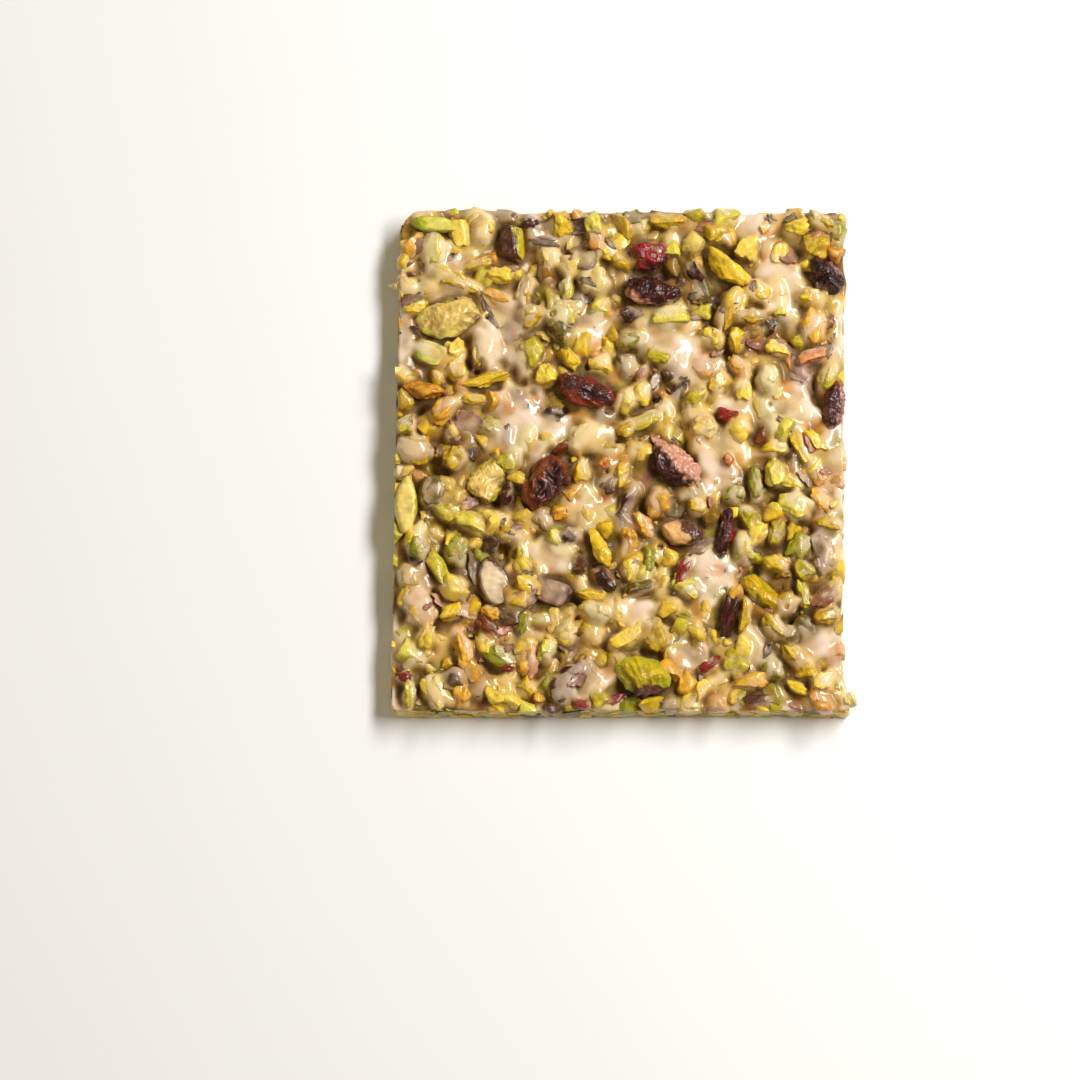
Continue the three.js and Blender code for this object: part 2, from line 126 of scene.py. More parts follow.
# Whole kernels and berries: x, y, length, width and turn of the solid, then the tints of its top, its edge
# and a patch (brown skin, or thin flesh that glows), the plan angle the patch faces and how far it reaches.
WHOLE = {
    "pistachio_1": (-36.5, 31, 15.2, 9, 12, "milky", "palegreen", "husk", 8, 0.14),
    "pistachio_2": (-40.6, 22.9, 9, 5.2, -22, "palegreen", "leaf", "leaf", 200, 0.3),
    "pistachio_3": (-40, 51.1, 10.6, 3.8, -7, "palegreen", "leaf", "leaf", 180, 0.5),
    "pistachio_4": (-23.2, 47.3, 9.8, 6.2, 97, "lime", "yellow", "husk", 190, 0.78),
    "pistachio_5": (4.4, -47.9, 12.4, 8.4, -20, "moss", "leaf", "husk", 290, 0.34),
    "pistachio_6": (-28.6, -5.2, 10.8, 8.4, 68, "milky", "lime", "husk", -20, 0.2),
    "pistachio_7": (-27.3, -27.6, 12.4, 6.8, 103, "fawn", "husk", "husk", 80, 0.25),
    "pistachio_8": (-45.8, -10.6, 13.2, 5, 88, "straw", "lime", "lime", 0, 0.2),
    "pistachio_9": (12.6, -16.6, 9.4, 6, -8, "peach", "mauve", "husk", 20, 0.6),
    "pistachio_10": (29.5, -29.8, 11.8, 5.2, -42, "gold", "lime", "olive", 230, 0.3),
    "pistachio_11": (-14.8, -29.4, 9.8, 7, -25, "ash", "husk", "mauve", 200, 0.35),
    "cranberry_1": (5.8, 44.6, 8.6, 6.6, 8, "crimson", "crimson", "plum", 300, 0.3),
    "cranberry_2": (6.4, 36.4, 12.8, 6.6, -8, "plum", "plum", "pink", 215, 0.28),
    "cranberry_3": (-7.4, 14.4, 14, 7.4, -26, "plum", "crimson", "garnet", 250, 0.36),
    "cranberry_4": (-15.7, -5.6, 12.6, 8.4, 56, "plum", "russet", "russet", 150, 0.5),
    "cranberry_5": (10.6, -1.6, 17, 7.6, -46, "plum", "plum", "pink", 40, 0.66),
    "cranberry_6": (45, 11.4, 10.8, 4.4, 82, "plum", "crimson", "mauve", 0, 0.36),
    "cranberry_7": (43.8, 40, 9.2, 7, -35, "ink", "plum", "mauve", 60, 0.3),
    "cranberry_8": (21.7, -17, 11.4, 3.8, 78, "plum", "ink", "crimson", 0, 0.25),
}

# How deeply the rough ones are furrowed, in millimetres, and then the other nuts and berries.
FURROWS = {
    "pistachio_1": 0.16, "pistachio_5": 0.2, "pistachio_6": 0.24, "pistachio_10": 0.14,
    "pistachio_4": 0.12, "pistachio_9": 0.1, "cranberry_4": 0.5, "cranberry_5": 0.38,
    "cranberry_7": 0.32,
}
NUT_FURROW, BERRY_FURROW = 0.04, 0.24
NUT_GRAIN, BERRY_GRAIN = 0.35, 0.09  # fine grain: a share of a nut's furrows, millimetres on a berry
ROUNDING = 3  # how often the solid's faces are divided

# Flat cuts on them: the plan angle and the lift of the way each one faces, and how far out it lies
# (1 is at the rim).
CUTS = {
    "pistachio_1": [(115, 20, 0.74), (25, 10, 0.8), (-50, 40, 0.72), (200, 35, 0.74), (75, 65, 0.8)],
    "pistachio_2": [(-30, 10, 0.68), (160, 20, 0.7), (270, 80, 0.6)],
    "pistachio_3": [(0, 0, 0.8), (185, 30, 0.78), (60, 75, 0.5), (-80, 10, 0.72)],
    "pistachio_4": [(0, 20, 0.6), (80, 10, 0.72), (-100, 15, 0.76), (185, 50, 0.66)],
    "pistachio_5": [(200, 30, 0.74), (60, 40, 0.72), (-40, 30, 0.7), (130, 60, 0.76)],
    "pistachio_6": [(-30, 20, 0.68), (120, 30, 0.66), (240, 10, 0.72), (40, 10, 0.78), (0, 86, 0.55)],
    "pistachio_7": [(285, 0, 0.78), (60, 10, 0.85), (0, 85, 0.6)],
    "pistachio_9": [(200, 10, 0.75), (90, 60, 0.7)],
    "pistachio_10": [(45, 35, 0.6), (-60, 10, 0.8), (130, 0, 0.82)],
    "pistachio_11": [(0, 88, 0.4), (-40, 10, 0.7), (75, 10, 0.66), (170, 10, 0.74), (250, 0, 0.78)],
    "cranberry_1": [(90, 10, 0.74), (200, 20, 0.7), (0, 60, 0.75)],
    "cranberry_2": [(60, 30, 0.72), (170, 10, 0.82)],
    "cranberry_3": [(70, 40, 0.5), (100, 0, 0.66), (160, 10, 0.84)],
    "cranberry_4": [(40, 20, 0.66), (130, 30, 0.72), (-50, 10, 0.7), (220, 20, 0.8), (300, 70, 0.7)],
    "cranberry_5": [(70, 35, 0.66), (165, 10, 0.66), (-95, 10, 0.74), (-20, 0, 0.86)],
    "cranberry_6": [(180, 20, 0.66), (20, 70, 0.6)],
    "cranberry_7": [(190, 10, 0.7), (75, 40, 0.72)],
}

# Chopped nuts that show most: x, y, length, width, turn and tint, and the caramel over a coated one.
CHOPPED_NUTS = [
    (41.8, 46.6, 6.4, 6, 95, "gold"), (40.8, 34.6, 5.8, 4.4, -20, "yellow"),
    (42.6, 51.8, 6.6, 4, -35, "gold"), (22.3, 41.2, 12, 4.8, -42, "yellow"),
    (28.4, 36.4, 6.6, 5.2, -25, "yellow"), (-39.3, -51, 8.6, 5.8, -62, "lemon"),
    (-34, -52, 6.2, 4.2, 80, "amber"), (-26.6, -43.4, 8.2, 4.6, -25, "green"),
    (-33.6, -42.2, 7.6, 3.8, -72, "amber"), (-31.8, -14.6, 8.2, 5, -42, "palegreen"),
    (-38.8, -24.8, 9.4, 4.2, -52, "lime"), (-35, -20.8, 7, 5.6, 80, "green"),
    (4.2, 7.8, 8.4, 3.4, 27, "lime"), (15.6, 13, 5.8, 3.6, 42, "lime"),
    (17.7, 6.4, 5.6, 5.2, 0, "cream"), (-5, -20.2, 9.6, 3.6, -58, "yellow"),
    (4.6, -14.8, 6.2, 3.2, -65, "amber"), (1.6, -18, 6, 3.6, 100, "amber"),
    (1.7, -24.8, 5.2, 3.8, 80, "lemon"), (-20.4, 37, 7.2, 3.6, 72, "gold"),
    (-12.8, 27.4, 5.8, 4.6, -20, "olive"), (-19.6, 23.2, 6.4, 5.6, 60, "lime"),
    (-15.9, 18, 5.2, 4.4, 75, "lemon"), (-29.4, 16.8, 11, 3, 12, "yellow"),
    (-31.2, 12.6, 7, 2.8, -8, "yellow"), (-42.2, 14.6, 9.4, 4.2, -14, "orange"),
    (-37.8, 10.4, 7.6, 4.6, 48, "amber"), (-45.8, 7, 4.4, 3.8, 40, "lime"),
    (-44.2, 1.8, 7.2, 6.4, -15, "gold", 0.05), (-7, 4.6, 9.6, 6.6, 35, "lemon", 0.1),
    (-8.8, -3.2, 6, 4.4, 85, "yellow"), (-40.4, -7.6, 7, 5.8, 75, "olive"),
    (-40.2, 45.8, 7.6, 6, 85, "palegreen", 0.1), (-15.4, 44.4, 5.8, 4.8, -45, "lemon", 0.05),
    (-12.8, 51.4, 5.6, 5.2, -60, "yellow"), (-29.6, 50.2, 7, 5, 75, "lemon", 0.05),
    (-34.4, 38.6, 9, 3.4, -22, "yellow"), (-31.2, 42.4, 7.6, 2.8, 15, "gold"),
    (-26.8, 35.2, 7.2, 3.2, -20, "amber"), (-43.8, 33, 5.4, 2.6, 20, "lemon"),
    (4.3, 51.2, 4, 3.6, -20, "lemon"), (10, 52, 8, 3.8, -8, "gold"),
    (19.4, 49.4, 8.8, 4.8, -22, "gold"), (10.2, 31.2, 8.2, 5.4, 15, "palegreen"),
    (22, 30.8, 6.4, 4.4, 70, "gold"), (27.8, 30.8, 6.8, 3.6, 12, "gold"),
    (19.6, 26.2, 6, 4.2, -25, "lemon"), (8, 22.2, 5.4, 3.4, -12, "lime"),
    (1.6, 26, 5.4, 4.2, 5, "green"), (1.2, 20.2, 5.4, 4.4, 100, "olive"),
    (25.2, 19.8, 6.6, 3.2, -48, "amber"), (31, 17.2, 6.6, 5, 80, "palegreen", 0.05),
    (43.8, 17.9, 6.6, 4, 70, "lime"), (32.4, 2, 5.6, 3.8, 10, "yellow"), (38, 2.4, 8, 3, -65, "yellow"),
    (41, 3.4, 6.6, 3, -55, "yellow"), (28.3, -5.6, 7.2, 2.8, -85, "green"),
    (23.8, -8.4, 4.8, 4, 20, "green"), (36, -5.4, 6, 3.2, -15, "palegreen"),
    (36.5, -10.8, 7.6, 6.6, -12, "palegreen"), (32.6, -3.6, 6.4, 4.8, 85, "palegreen"),
    (42.2, -9.6, 6.4, 3.4, -60, "amber"), (16, -10.8, 4.6, 4, -70, "yellow"),
    (27.4, -13.4, 7.4, 3.8, -55, "lime"), (25.6, -19.6, 6.6, 4.4, -80, "palegreen", 0.1),
    (37.4, -19.6, 6, 5.2, 75, "green"), (38.4, -24.8, 4.6, 3.6, -50, "lime"),
    (38.4, -30, 6.6, 2.6, -75, "lime"), (43.4, -34.6, 6.2, 4.2, 20, "gold"),
    (26, -35, 8, 2.6, 85, "gold"), (12.8, -34.4, 6.4, 3, -18, "green"),
    (7.2, -39, 7.6, 5.8, -50, "gold"), (1, -39.6, 8, 4, 18, "lemon"),
    (-6.2, -34, 7, 4.4, -25, "lime", 0.05), (3.6, -28.6, 7.8, 2.8, 18, "olive"),
    (-6.6, -30.2, 6.6, 3, -30, "yellow"), (-27.8, -34, 4.6, 3.2, -30, "amber"),
    (-41.6, -39.4, 5.4, 4, 75, "lemon"), (-42.6, -33, 9, 6.4, -60, "peach", 0.1),
    (-46.2, -30.2, 5.6, 2.6, 80, "gold"), (-45, -51.6, 6.6, 2.8, 85, "lime"),
    (-27.2, -51.6, 5.4, 3.4, -65, "lemon"), (-20.2, -50.2, 4.6, 3.6, -50, "yellow"),
    (32.2, -37, 6.6, 4.4, -60, "gold"), (36.6, -43.4, 7, 4.4, -35, "gold"),
    (27, -49, 8, 3.8, 8, "amber"), (36.8, -50.2, 5, 2.6, -30, "yellow"),
    (16.6, -50.8, 5.4, 2.8, 60, "lemon"), (41, 28.8, 8, 5.6, 70, "amber"),
    (-13, 31.6, 7, 5.8, 20, "palegreen", 0.15), (-29, 23.8, 8.2, 5.6, 75, "cream", 0.15),
]

# Chopped cranberries that show most, in the same terms.
CHOPPED_BERRIES = [
    (-3.8, -26.2, 7, 4.2, -35, "plum"), (-11.2, -17.4, 5.2, 4.2, 20, "plum"),
    (12.9, -25, 8.2, 2.6, 70, "crimson"), (22.7, -35, 9.4, 3.4, 84, "plum"),
    (42.8, -31, 7, 4.6, 22, "mauve"), (22.3, 8.9, 4.8, 3.2, -15, "crimson"),
    (29.9, 4.8, 6.2, 2.6, 58, "russet"), (15.6, 40.6, 5.4, 3.2, -50, "plum"),
    (18.6, -45.2, 5.4, 2.6, 32, "crimson"), (-10.4, -47.4, 7.6, 4, 22, "plum"),
    (-14.4, 9.4, 4.4, 3.2, -20, "ink"), (-2, -53, 5.4, 2.4, 18, "crimson"),
    (40.6, 22.2, 7, 3.2, 15, "rose"), (28.8, -53, 6.8, 2.2, 0, "husk"),
    (-28.4, -37.6, 6.6, 3.4, -50, "russet"), (1.3, -9.6, 8.6, 2.8, 68, "plum"),
]

# Smaller berry pieces, which the solid leaves out.
SMALL_BERRIES = [
    (-43.8, -23.5, 3.2, 2.8, 0, "ink"), (-8.5, -54, 4, 2.4, 0, "crimson"),
    (30.5, -42.5, 5, 2.2, 70, "plum"), (-19.5, 51.5, 3.6, 3, 40, "plum"),
    (4, 18, 5.5, 2.2, 60, "russet"), (-46, -48, 3, 2.4, 0, "crimson"),
    (-3.5, -1.5, 3, 2.4, 30, "ember"), (22.5, -0.5, 3, 2.6, 70, "ember"),
    (-36.5, 44, 2.6, 1.6, 30, "plum"), (-24.5, -8, 5, 2.8, 70, "plum"), (-13, 2, 4, 2.2, 20, "russet"),
    (7, 16.5, 4.4, 2, 75, "plum"), (26, -47, 3.6, 1.8, 60, "plum"), (-24, -46, 3.4, 2, 10, "crimson"),
    (44.5, 30, 4, 2, 80, "russet"),
]

# Bits that stand out of the cut edges: x, y, z, length, width, turn, tint.
EDGE_BITS = [
    (-47.7, 38.4, 5.4, 4.6, 2, 8, "orange"), (47.9, -52.8, 5.6, 3.6, 3, -60, "lime"),
    (46.2, 3.8, 5.6, 4.6, 2.4, 90, "green"), (-26.4, -54.4, 5.6, 6, 2.4, 8, "lemon"),
    (36.6, -54.2, 5.4, 4.6, 2.2, -12, "mauve"), (-8.4, -54.4, 5, 7, 2.2, 0, "plum"),
]

# Loose brown nut skins: x, y, length, width, turn, tint, and how clear their middle is.
SKINS = [
    (-28.4, 32, 8, 1.4, -62, "husk", 0), (-14, 50.3, 13, 5, 3, "husk", 0.9),
    (-8, 44.4, 7.6, 6.6, 60, "husk", 0.9), (-16.5, 47.2, 7, 1.6, -10, "ink", 0.2),
    (-7.9, 36.2, 5, 5.2, 0, "ink", 0.6), (18, 35.5, 7.5, 2, -8, "ink", 0.1),
    (-37, 2.5, 6, 4, 20, "russet", 0.3), (-32.5, 7.5, 7, 5, -20, "mauve", 0.5),
    (31.5, 24.5, 9.5, 4.5, -15, "russet", 0.3), (37.5, 19.5, 6.5, 3, -60, "mauve", 0.4),
    (35, 45, 6, 4, -35, "russet", 0.3), (-44.5, 46, 5, 3.5, 30, "mauve", 0.4),
    (-44, 42, 4, 3, 10, "russet", 0.3), (-21.5, -32, 9, 4.4, 35, "husk", 0.7),
    (-35.5, -32.5, 9, 4, -25, "pink", 0.6), (42.5, -21, 5, 8, 10, "ash", 0.7),
    (-19.5, -44.5, 4.5, 7, 0, "pink", 0.6), (39, -4.5, 4, 2.5, -50, "ash", 0.4),
    (-45, 35, 5, 3, 30, "husk", 0.3), (-46, -48, 3, 3, 0, "crimson", 0.2),
    (11, -11, 6, 4, 10, "olive", 0.4), (2.5, 53, 5, 3.5, 10, "olive", 0.3),
    (17, -19.5, 7, 3, 25, "husk", 0.3), (4, -52.4, 8, 2.6, -10, "husk", 0.2),
    (-24.5, -8, 4, 3, -60, "husk", 0.3), (-31, -25, 3.4, 8, 15, "husk", 0.5),
    (27, 26, 5, 3, 30, "husk", 0.5),
]

# Pools of bare caramel: x, y, half-length, half-width, turn.
POOLS = [
    (35, 11, 8, 5, 10), (19, -25, 5, 7, 0), (-22, 11, 5, 7, 0), (-7, 28.5, 4, 6, 30),
    (20.5, -1.5, 4.5, 8, -10), (10, 26, 6, 3, 0), (15.5, 20, 6, 4, -20), (-23, 3, 6, 3.5, -20),
    (34, 39.5, 5, 7, 25), (-7, -50.5, 8, 2.2, 32), (3, -33.5, 6, 2.6, 10), (13.5, -43, 4, 3.5, 0),
    (-15.5, -21.5, 5.5, 4, -20), (-21.5, -39, 4, 2.6, 0), (-46, 25.5, 1.8, 7, 0), (28, 51, 3.5, 3.5, 0),
    (-37.5, 36.6, 4, 2, 0), (41, -41, 5, 5, 0), (-8, -12, 5, 4, 0),
]
# More of them, which the solid's scattered pieces do not keep clear of.
MORE_POOLS = [
    (-37, 43.5, 4.5, 5, 20), (-26, 29, 6, 8.5, -10), (-14, 31, 7, 2.6, -5), (-14, 6.5, 6, 2.6, -10),
    (-4.5, 4, 3, 3, 0), (43.5, 1, 2.4, 6, 0), (42.5, -15, 2.6, 7, 0), (28.5, -43, 3, 6, 20),
    (-16, 49, 5, 3, 0), (-42, -27, 3, 4, 0), (25, 11, 5, 3, 0), (-24, 20, 3, 5, 10), (7, 26, 4, 4, 0),
]
# Dark clefts between the nuts, and wider dusky places where they lie deeper, in the same terms.
CLEFTS = [
    (6, 41, 6, 1.6, 0), (-22, 17, 6, 1.4, -50), (-14, 10.5, 4, 1.2, 0), (-36, 25.5, 3, 1.2, 0),
    (-38, 3, 3.5, 1.4, -20), (-24, -8, 4, 1.4, 40), (-19, -11, 4, 1.4, -10), (-35, -17, 3, 1.4, -20),
    (-31.5, -30.5, 3, 1.2, -10), (13, 3, 8, 1.2, -72), (12, -22, 4, 1, 80), (33, -11, 5, 1.2, -62),
    (38, -15.5, 3.5, 1, 0), (36, -37, 4, 1, 85), (-30, -48.5, 3, 1.5, 0), (-7, -43.5, 3.5, 1.2, -5),
    (2, -52.5, 3, 1.2, -20), (-43, 10.5, 2, 1.2, 10), (-42, -8, 3, 1, 80), (-39, -2, 3, 1.3, -50),
    (20, 34, 5, 1.5, -20), (26, 28, 2.6, 1.2, 20), (35, 21, 2.6, 1.2, -30), (41, 14, 4, 1, -65),
    (2, 22.5, 3, 1.6, -30), (9, 17, 4, 1.2, -50), (4, -12, 4, 1.3, 70), (-10, -31.5, 4, 1.2, -20),
    (22, 25, 5, 1.2, -60), (38, 44, 3, 1.4, -60), (-46, 41, 3, 1, 80), (-18, -15.5, 3, 1.2, 60),
    (18, -38, 3, 1.1, 10), (6, -43, 4, 1, -20), (-9, 39, 3, 1.4, 0), (28, -25, 3, 1, 60),
    (-34, 20, 3, 1, 5), (-25, -21, 2.6, 1.2, 80),
]
DUSKY = [
    (15, 37, 18, 7, -20), (35, 25, 8, 5, -40), (-20, 15, 8, 5, -40), (-42, 9, 6, 7, 0),
    (-45, -47, 4, 9, 0), (-30, -47, 9, 4, 0), (13, -13, 9, 4, 0), (35, -30, 5, 13, 5),
    (-10, -43, 8, 4, 0), (5, -51, 12, 4, 0), (-44, 47, 5, 7, 0), (-40, -3, 6, 6, 0), (-22, -9, 8, 4, 0),
    (-31, -18, 8, 4, -20), (31, -8, 4, 8, 10),
]
# Small holes in the caramel: x, y, half-width.
PITS = [
    (7.5, 13, 1), (-2.7, 10, 0.9), (-22.5, -21, 1.2), (-32, -39, 0.8), (-14, -44, 1), (-9.5, -38, 0.9),
]

SCATTER_SEED, SCATTER_COUNT, SCATTER_TRIES, SCATTER_MARGIN = 20417, 30, 4000, 3
LONGEST_BIT, SHORTEST_BIT = 5.6, 3.8
BURIED_NUTS, SIDE_CHIPS, UNDER_CHIPS, LOOSE_SKINS, SMALL_PITS = 240, 400, 430, 85, 34
# Scattered chips: how many, the longest, the shortest, and how far they may overlap.
CHIPS, CRUMBS = (260, 7, 3.6, 0.6), (330, 3.4, 0.9, 0.8)
# How common each tint is among them, and how common in the dusky places.
CHIP_TINTS = {
    "lemon": (28, 14), "yellow": (26, 21), "gold": (12, 22), "bronze": (5, 13), "lime": (8, 9),
    "green": (1, 3), "palegreen": (6, 3), "olive": (1, 5), "amber": (6, 6), "orange": (9, 9),
    "husk": (7, 8), "plum": (7, 9), "cream": (3, 1), "straw": (13, 3),
}
SIDE_TINTS = {
    "lemon": 22, "yellow": 18, "gold": 12, "lime": 12, "green": 6, "palegreen": 12, "olive": 4, "amber": 4,
    "husk": 3, "plum": 3, "straw": 12,
}
BURIED_TINTS = ["lemon", "yellow", "gold", "lime", "straw", "amber", "cream"]
TOP_TINTS = ["lemon", "yellow", "gold", "lime", "palegreen", "green"]
SKIN_TINTS = ["husk", "ink", "plum", "mauve", "russet", "garnet"]
CHIP_SHAPES = 16  # different shapes of scattered chip
UNDERSIDE, UNDERSIDE_STEP = 0.07, 0.9  # the caramel's underside: its height, and how finely it is divided
BARE, THIN_COAT = -1, (0.02, 0.25)  # the coat of a piece that no caramel covers, and of one under a film
THICKNESS, TALLEST, RISE = 0.8, 3.6, 0.14  # a piece's height to its width, at most, and how much shows
LARGE = 9  # from this length on a piece counts as whole
SKIN_THICK, SKIN_LIFT, SKIN_STEPS = 0.14, 0.26, 11
# How far chips stand out of the cut edges: those sliced by them, and those on the top. At least, and more.
SIDE_STAND, TOP_STAND, FOOT = (0.08, 0.3), (0.5, 0.4), 0.06
SIDE_SHARP, TOP_SHARP = 34, 48  # degrees from which their edges look sharp
# Seeds of the random draws.
TILE_SEED, TOP_TINT_SEED, ROUGH_SEED, GLOW_SEED, WALL_SEED, WALL_GRAIN_SEED = 41, 5, 8, 77, 31, 32
MILKY_SEED, WET_SEED, FOOT_SEED = 12, 3, 4


# ---------------------------------------------------------------- shapes

def linear(tint):
    """A named tint as linear red, green and blue."""
    c = np.array(TINTS[tint]) / 255
    return np.where(c <= 0.04045, c / 12.92, ((c + 0.055) / 1.055) ** 2.4)


def richer(tone):
    """A deeper and more saturated version of a colour."""
    return 0.6 * tone**1.8


def blend(first, second, share):
    """The first colour, with the second one over it by that share."""
    return first * (1 - share) + share * second


def smooth(value, low, high):
    """0 below low and 1 above high, with a soft step between."""
    t = np.clip((value - low) / (high - low), 0, 1)
    return t * t * (3 - 2 * t)


def edge_at(edge, along):
    """Where a cut edge lies: straight, with a slight slope and soft bumps."""
    at, slope, bumps = edge
    return at + slope * along + sum(h * np.exp(-(((along - p) / s) ** 2)) for p, h, s in bumps)


def on_tile(u, v):
    """The place on the tile of points of a unit square centred on the origin."""
    left, right = edge_at(LEFT_EDGE, v * DEPTH), edge_at(RIGHT_EDGE, v * DEPTH)
    front, back = edge_at(FRONT_EDGE, u * WIDTH), edge_at(BACK_EDGE, u * WIDTH)
    return corners_rounded(left + (right - left) * (u + 0.5), front + (back - front) * (v + 0.5))


def corners_rounded(x, y):
    """Points with those near a corner of the tile drawn in onto its rounding."""
    for side, end, radius in CORNERS:
        corner_x, corner_y = edge_at(side, y), edge_at(end, x)
        in_x, in_y = radius - np.abs(corner_x - x), radius - np.abs(corner_y - y)
        inside = (in_x > 0) & (in_y > 0)
        longer = np.maximum(np.maximum(in_x, in_y), 1e-9)
        pull = np.where(inside, longer / np.maximum(np.hypot(in_x, in_y), 1e-9) - 1, 0)
        x, y = x + np.sign(corner_x) * in_x * pull, y + np.sign(corner_y) * in_y * pull
    return x, y


def to_rim(x, y):
    """How far points lie inside the nearest cut edge."""
    across = np.minimum(x - edge_at(LEFT_EDGE, y), edge_at(RIGHT_EDGE, y) - x)
    return np.minimum(across, np.minimum(y - edge_at(FRONT_EDGE, x), edge_at(BACK_EDGE, x) - y))


def level_at(x, y):
    """The mean height of the caramel."""
    swell = sum(h * np.sin(a * x + b * y + c) for h, a, b, c in SWELLS)
    return LEVEL + swell - EDGE_DROP * (1 - smooth(to_rim(x, y), 0, EDGE_BAND))


def ovals(places, x, y):
    """How deep points lie in a set of ovals: 1 in the middle of one, 0 on its rim, less outside."""
    best = np.full(np.shape(x), -9.0)
    for cx, cy, half_length, half_width, turn in places:
        c, s = math.cos(math.radians(turn)), math.sin(math.radians(turn))
        along = (c * (x - cx) + s * (y - cy)) / half_length
        across = (c * (y - cy) - s * (x - cx)) / half_width
        best = np.maximum(best, 1 - np.hypot(along, across))
    return best


def lumps(points, rng, size, waves=7):
    """Random values from about -1 to 1 over points, with humps about size apart."""
    k = rng.normal(size=(waves, points.shape[-1]))
    pace = (2 * math.pi / size) * rng.uniform(0.6, 1.4, (waves, 1))
    k *= pace / np.linalg.norm(k, axis=1, keepdims=True)
    phase = rng.uniform(0, 2 * math.pi, waves)
    return np.sin(points @ k.T + phase).sum(-1) / math.sqrt(waves)


def softened(field, passes):
    """A grid of values, each one averaged with its neighbours that many times."""
    for _ in range(passes):
        for axis in (0, 1):
            wide = np.pad(field, [(1, 1) if a == axis else (0, 0) for a in range(field.ndim)], mode="edge")
            parts = [wide.take(range(k, k + field.shape[axis]), axis) for k in range(3)]
            field = (parts[0] + 2 * parts[1] + parts[2]) / 4
    return field


def ball(steps):
    """The corners and faces of a unit ball of triangles."""
    bm = bmesh.new()
    bmesh.ops.create_icosphere(bm, subdivisions=steps, radius=1)
    corners = np.array([v.co[:] for v in bm.verts])
    faces = np.array([[v.index for v in f.verts] for f in bm.faces])
    bm.free()
    return corners, faces


def grid_faces(rows, cols):
    """The faces of a grid of points, and the points round its rim in order."""
    index = np.arange(rows * cols).reshape(rows, cols)
    quads = np.stack([index[:-1, :-1], index[1:, :-1], index[1:, 1:], index[:-1, 1:]], -1).reshape(-1, 4)
    return quads, np.concatenate([index[:-1, 0], index[-1, :-1], index[:0:-1, -1], index[0, :0:-1]])


def chopped(corners, rng, cuts=4, bites=2):
    """A block made uneven, with some corners cut off and bitten into, as a broken nut is. Unit size."""
    block = turned(corners, *rng.uniform(0, 90, 3) * rng.choice([0.15, 0.4, 1]))
    blunt = rng.uniform(2.6, 6)
    v = corners / (np.abs(block) ** blunt).sum(1)[:, None] ** (1 / blunt)
    v *= (1 + 0.17 * lumps(corners, rng, 1.5)[:, None])
    for _ in range(rng.integers(cuts - 1, cuts + 3)):
        way = rng.normal(size=3)
        way /= np.linalg.norm(way)
        v -= np.outer(np.clip(v @ way - rng.uniform(0.6, 1.05), 0, None), way)
    for _ in range(bites):
        way = rng.normal(size=3)
        away = np.linalg.norm(v - way / np.linalg.norm(way), axis=1) / rng.uniform(0.35, 0.6)
        v *= (1 - 0.34 * np.exp(-(away**2)))[:, None]
    v *= (1 + 0.05 * lumps(v, rng, 0.75) - 0.05 * np.abs(lumps(v, rng, 0.5)))[:, None]
    v -= (v.max(0) + v.min(0)) / 2
    return v / np.abs(v).max(0)


def turned(v, turn, tilt=0, lean=0):
    """Points tilted about X, leant about Y and turned about Z, in degrees."""
    a, b, c = (math.radians(d) for d in (tilt, lean, turn))
    about_x = np.array([[1, 0, 0], [0, math.cos(a), -math.sin(a)], [0, math.sin(a), math.cos(a)]])
    about_y = np.array([[math.cos(b), 0, math.sin(b)], [0, 1, 0], [-math.sin(b), 0, math.cos(b)]])
    about_z = np.array([[math.cos(c), -math.sin(c), 0], [math.sin(c), math.cos(c), 0], [0, 0, 1]])
    return v @ (about_z @ about_y @ about_x).T


def seeded_random(seed):
    """The same row of numbers from 0 to 1 as the solid's source draws."""
    state = seed
    while True:
        state = (state * 1664525 + 1013904223) % 4294967296
        yield state / 4294967296


@dataclass
class Bit:
    """One piece set in the caramel: its middle, its size, how it is turned, and the caramel over it."""

    x: float
    y: float
    z: float
    length: float
    width: float
    height: float
    turn: float
    tint: str
    tilt: float = 0
    lean: float = 0
    coat: float = BARE


# ---------------------------------------------------------------- where the pieces lie

def whole_bit(node):
    """A whole kernel or berry, at the height of its solid."""
    x, y, length, width, turn, tint, *_ = WHOLE[node]
    low, high = (v[2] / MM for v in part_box(node))
    return Bit(x, y, (low + high) / 2, length, width, high - low, turn, tint)


def top_bits():
    """The chopped pieces that stand on the top, as the solid has them."""
    placed = [(*p, BARE) if len(p) == 6 else p for p in CHOPPED_NUTS + CHOPPED_BERRIES]
    taken = [(x, y, (a + b) / 4) for x, y, a, b, *_ in [*WHOLE.values(), *placed]]
    draw = seeded_random(SCATTER_SEED)
    tints = np.random.default_rng(TOP_TINT_SEED).choice(TOP_TINTS, SCATTER_COUNT)
    scattered = []
    for n in range(SCATTER_TRIES):
        if len(scattered) == SCATTER_COUNT:
            break
        x = (next(draw) - 0.5) * (WIDTH - 2 * SCATTER_MARGIN)
        y = (next(draw) - 0.5) * (DEPTH - 2 * SCATTER_MARGIN)
        length = LONGEST_BIT + (SHORTEST_BIT - LONGEST_BIT) * n / SCATTER_TRIES
        width = length * (0.55 + 0.35 * next(draw))
        turn = 180 * next(draw)
        reach = (length + width) / 4
        if ovals(POOLS, x, y) > 0 or any(math.hypot(x - a, y - b) < r + reach for a, b, r in taken):
            continue
        taken.append((x, y, reach))
        scattered.append((x, y, length, width, turn, str(tints[len(scattered)]), BARE))
    bits = []
    for n, (x, y, length, width, turn, tint, coat) in enumerate(placed + scattered):
        height = min(THICKNESS * width, TALLEST)
        z = level_at(x, y) + RISE * height
        bits.append(Bit(x, y, z, length, width, height, turn, tint, 16 * math.sin(7 * n), coat=coat))
    return bits


